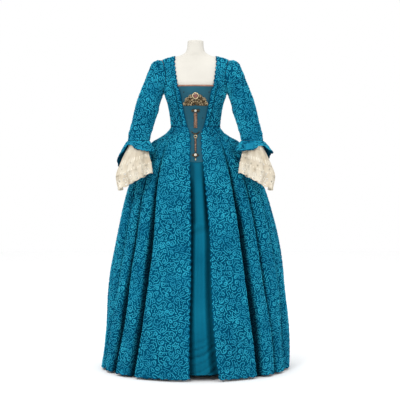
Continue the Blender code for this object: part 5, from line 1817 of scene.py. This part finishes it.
bow = [seated(LINK_HEIGHT, LINK_SIZE, 8, 28)]
for flip in (-1, 1):
    for size, x in SCROLLS:
        for rise in (-1, 1):
            middle = np.array([flip * x, LINK_HEIGHT + rise * SCROLL_RISE])
            flat = placed(spiral(0.2 * size, size, 1.4, 18), middle, 0.5 * rise, flip * rise)
            bow.append(tube(points(flat[:, 0], -SCROLL_RISE, flat[:, 1]), SCROLL_WIRE, 6))
metalwork("link_bow_scrolls", joined(bow), BRASS, "ornament_metal", "link_bow")
shape = seated(LINK_HEIGHT, PEARL_SIZE, 12, 28)
metalwork("link_bead", shape, PEARL, "pale_stone", "link_pearl", lift=OVER_BOW)


def bar(name, ends, width, thickness, node_name):
    """A flat strip with rounded rails and a pinched outline: width * (0.90 + 0.10 cos of the run)."""
    run, side = np.meshgrid(np.linspace(0, 1, 60), np.linspace(-1, 1, 25), indexing="ij")
    pinch = 0.90 + 0.10 * np.cos(2 * math.pi * 6 * run)
    x = side * width / 2 * pinch
    rails = np.exp(-((np.abs(side) - 0.72) / 0.20) ** 2)
    lift = thickness * (0.42 + 0.55 * rails + 0.12 * np.cos(2 * math.pi * 12 * run) * (np.abs(side) < 0.4))
    height = ends[0] + (ends[1] - ends[0]) * run
    front = points(x, -np.minimum(lift, thickness), height)
    back = points(x, 0.0, height)
    return metalwork(name, plate(front, back), COPPER, "ornament_metal", node_name)


COPPER = metal("worn copper", (0.045, 0.028, 0.022), (0.270, 0.165, 0.115), 0.40)
bar("upper_bar_railed", UPPER_BAR, *UPPER_BAR_SIZE, "bar_upper")
bar("lower_bar_railed", LOWER_BAR, *LOWER_BAR_SIZE, "bar_lower")

turn = np.radians(np.linspace(-160, -20, 40))
height = CRESCENT_HEIGHT + CRESCENT_RADIUS * np.sin(turn)
arc = points(1.15 * CRESCENT_RADIUS * np.cos(turn), -CRESCENT_WIRE, height)
shape = tube(arc, CRESCENT_WIRE * (0.45 + 0.45 * np.sin(-turn)), 12)
metalwork("crescent_horned", shape, BRASS, "ornament_metal", "crescent_link")
shape = tube(hoop(LOOP_RADIUS, LOOP_WIRE, LOOP_HEIGHT, 40), LOOP_WIRE, 10, True)
metalwork("small_loop_round", shape, BRIGHT_BRASS, "ornament_metal", "small_loop")

corners = np.array([[0, 1], [1, 0], [0, -1], [-1, 0], [0, 1]], float)
corners *= (DROP_HALF_WIDTH * 0.82, DROP_HALF_HEIGHT)
edge = np.concatenate([np.linspace(corners[k], corners[k + 1], 12, endpoint=False) for k in range(4)])
outer = tube(points(edge[:, 0], -DROP_FRONT, edge[:, 1] + DROP_HEIGHT), DROP_WIRE, 8, True)
edge = edge * INNER_SHARE
inner = tube(points(edge[:, 0], -INNER_FRONT, edge[:, 1] + DROP_HEIGHT), INNER_WIRE, 8, True)
studs = beads(corners[:4] * 0.98 + (0, DROP_HEIGHT), CORNER_BEAD, CORNER_BEAD)
shape = joined([outer, inner, studs, seated(DROP_HEIGHT, DROP_PLATE, 6, 4)])
metalwork("drop_diamond", shape, BRASS, "ornament_metal", "drop_mount")
shape = seated(DROP_HEIGHT, DROP_STONE, 12, 28)
metalwork("drop_bead", shape, PEARL, "pale_stone", "drop_stone", lift=OVER_DROP)
shape = seated(TIP_HEIGHT, TIP_SIZE, 10, 20)
metalwork("drop_tip_round", shape, BRIGHT_BRASS, "ornament_metal", "drop_tip")
print("ornament from", round(RING_HEIGHT + RING_RADIUS, 3), "m down to", TIP_HEIGHT, "m")

# %% [markdown]
# ## The stand
# The steel pole and its round base are already the right shape in the solids, so they stay and only
# take a finish. The skirt hides them, but the object is also seen from below and through its hem.

# %% Finish what stays
for name in ("form_pole", "form_base"):
    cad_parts[name].data.materials.clear()
    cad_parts[name].data.materials.append(STEEL)
    print(name, "takes", STEEL.name)

# %% [markdown]
# ## Floor, light and camera
# A catalogue photograph has a pale seamless floor and large soft lamps. A curved backdrop would hide
# the gown from behind, so the floor is flat and a white world closes the view on every side and
# fills the shadows. The camera stands level in front, far enough away that the gown shows little
# perspective, and its view is shifted down a little so that uprights stay upright.

# %% Set the stage
def plain(name, colour, roughness):
    """Paper: one colour that darkens by 1.5 per cent in very large blotches."""
    material, nodes, shader = tree(name, colour, roughness)
    tone = blotches(nodes, coordinates(nodes, "Object"), 0.8)
    soft = [(0.3, tuple(0.985 * value for value in colour)), (0.7, colour)]
    nodes.links.new(ramp(nodes, tone, soft), shader.inputs["Base Color"])
    return material


FLOOR_SIZE = 14.0
x, y = np.meshgrid(np.array([-0.5, 0.5]) * FLOOR_SIZE, np.array([-0.5, 0.5]) * FLOOR_SIZE)
floor = mesh_object("studio_floor", points(x, y, np.zeros_like(x)).reshape(-1, 3), quads(2, 2, False))
paper = plain("pale paper", (0.97, 0.97, 0.97), 0.9)
floor.data.materials.append(paper)


def lamp(name, place, aim, size, power):
    """A rectangular area lamp, turned by the angle down from overhead and round to face its aim."""
    light = bpy.data.lights.new(name, "AREA")
    light.shape = "RECTANGLE"
    light.size, light.size_y = size
    light.energy = power
    made = bpy.data.objects.new(name, light)
    made.location = place
    away = [a - b for a, b in zip(place, aim)]
    tilt = math.atan2(math.hypot(away[0], away[1]), away[2])
    made.rotation_euler = (tilt, 0, math.atan2(away[0], -away[1]))
    bpy.context.scene.collection.objects.link(made)


lamp("key_softbox", (-1.5, -3.9, 3.1), (0, 0, 0.8), (1.2, 1.2), 85)
lamp("fill_softbox", (2.0, -4.2, 1.8), (0, 0, 0.8), (1.8, 1.8), 25)
lamp("top_softbox", (0, 0.4, 3.8), (0, 0, 0), (3.0, 3.0), 35)
world = bpy.data.worlds.new("studio")
world.use_nodes = True
world.node_tree.nodes["Background"].inputs["Color"].default_value = (1, 1, 1, 1)
world.node_tree.nodes["Background"].inputs["Strength"].default_value = 1.0
bpy.context.scene.world = world

CAMERA_DISTANCE = 5.2
CAMERA_HEIGHT = 0.95
SEEN_WIDTH = 1.892
SHIFT_RIGHT = 0.01125
SHIFT_DOWN = 0.0853
view = bpy.data.cameras.new("photograph")
view.angle = 2 * math.atan(SEEN_WIDTH / 2 / CAMERA_DISTANCE)
view.shift_x = SHIFT_RIGHT
view.shift_y = -SHIFT_DOWN
camera = bpy.data.objects.new("photograph", view)
camera.location = (0, -CAMERA_DISTANCE, CAMERA_HEIGHT)
camera.rotation_euler = (math.pi / 2, 0, 0)
bpy.context.scene.collection.objects.link(camera)
bpy.context.scene.camera = camera
bpy.context.scene.view_settings.view_transform = "Standard"
print("lens:", round(view.lens, 1), "mm at", CAMERA_DISTANCE, "m")
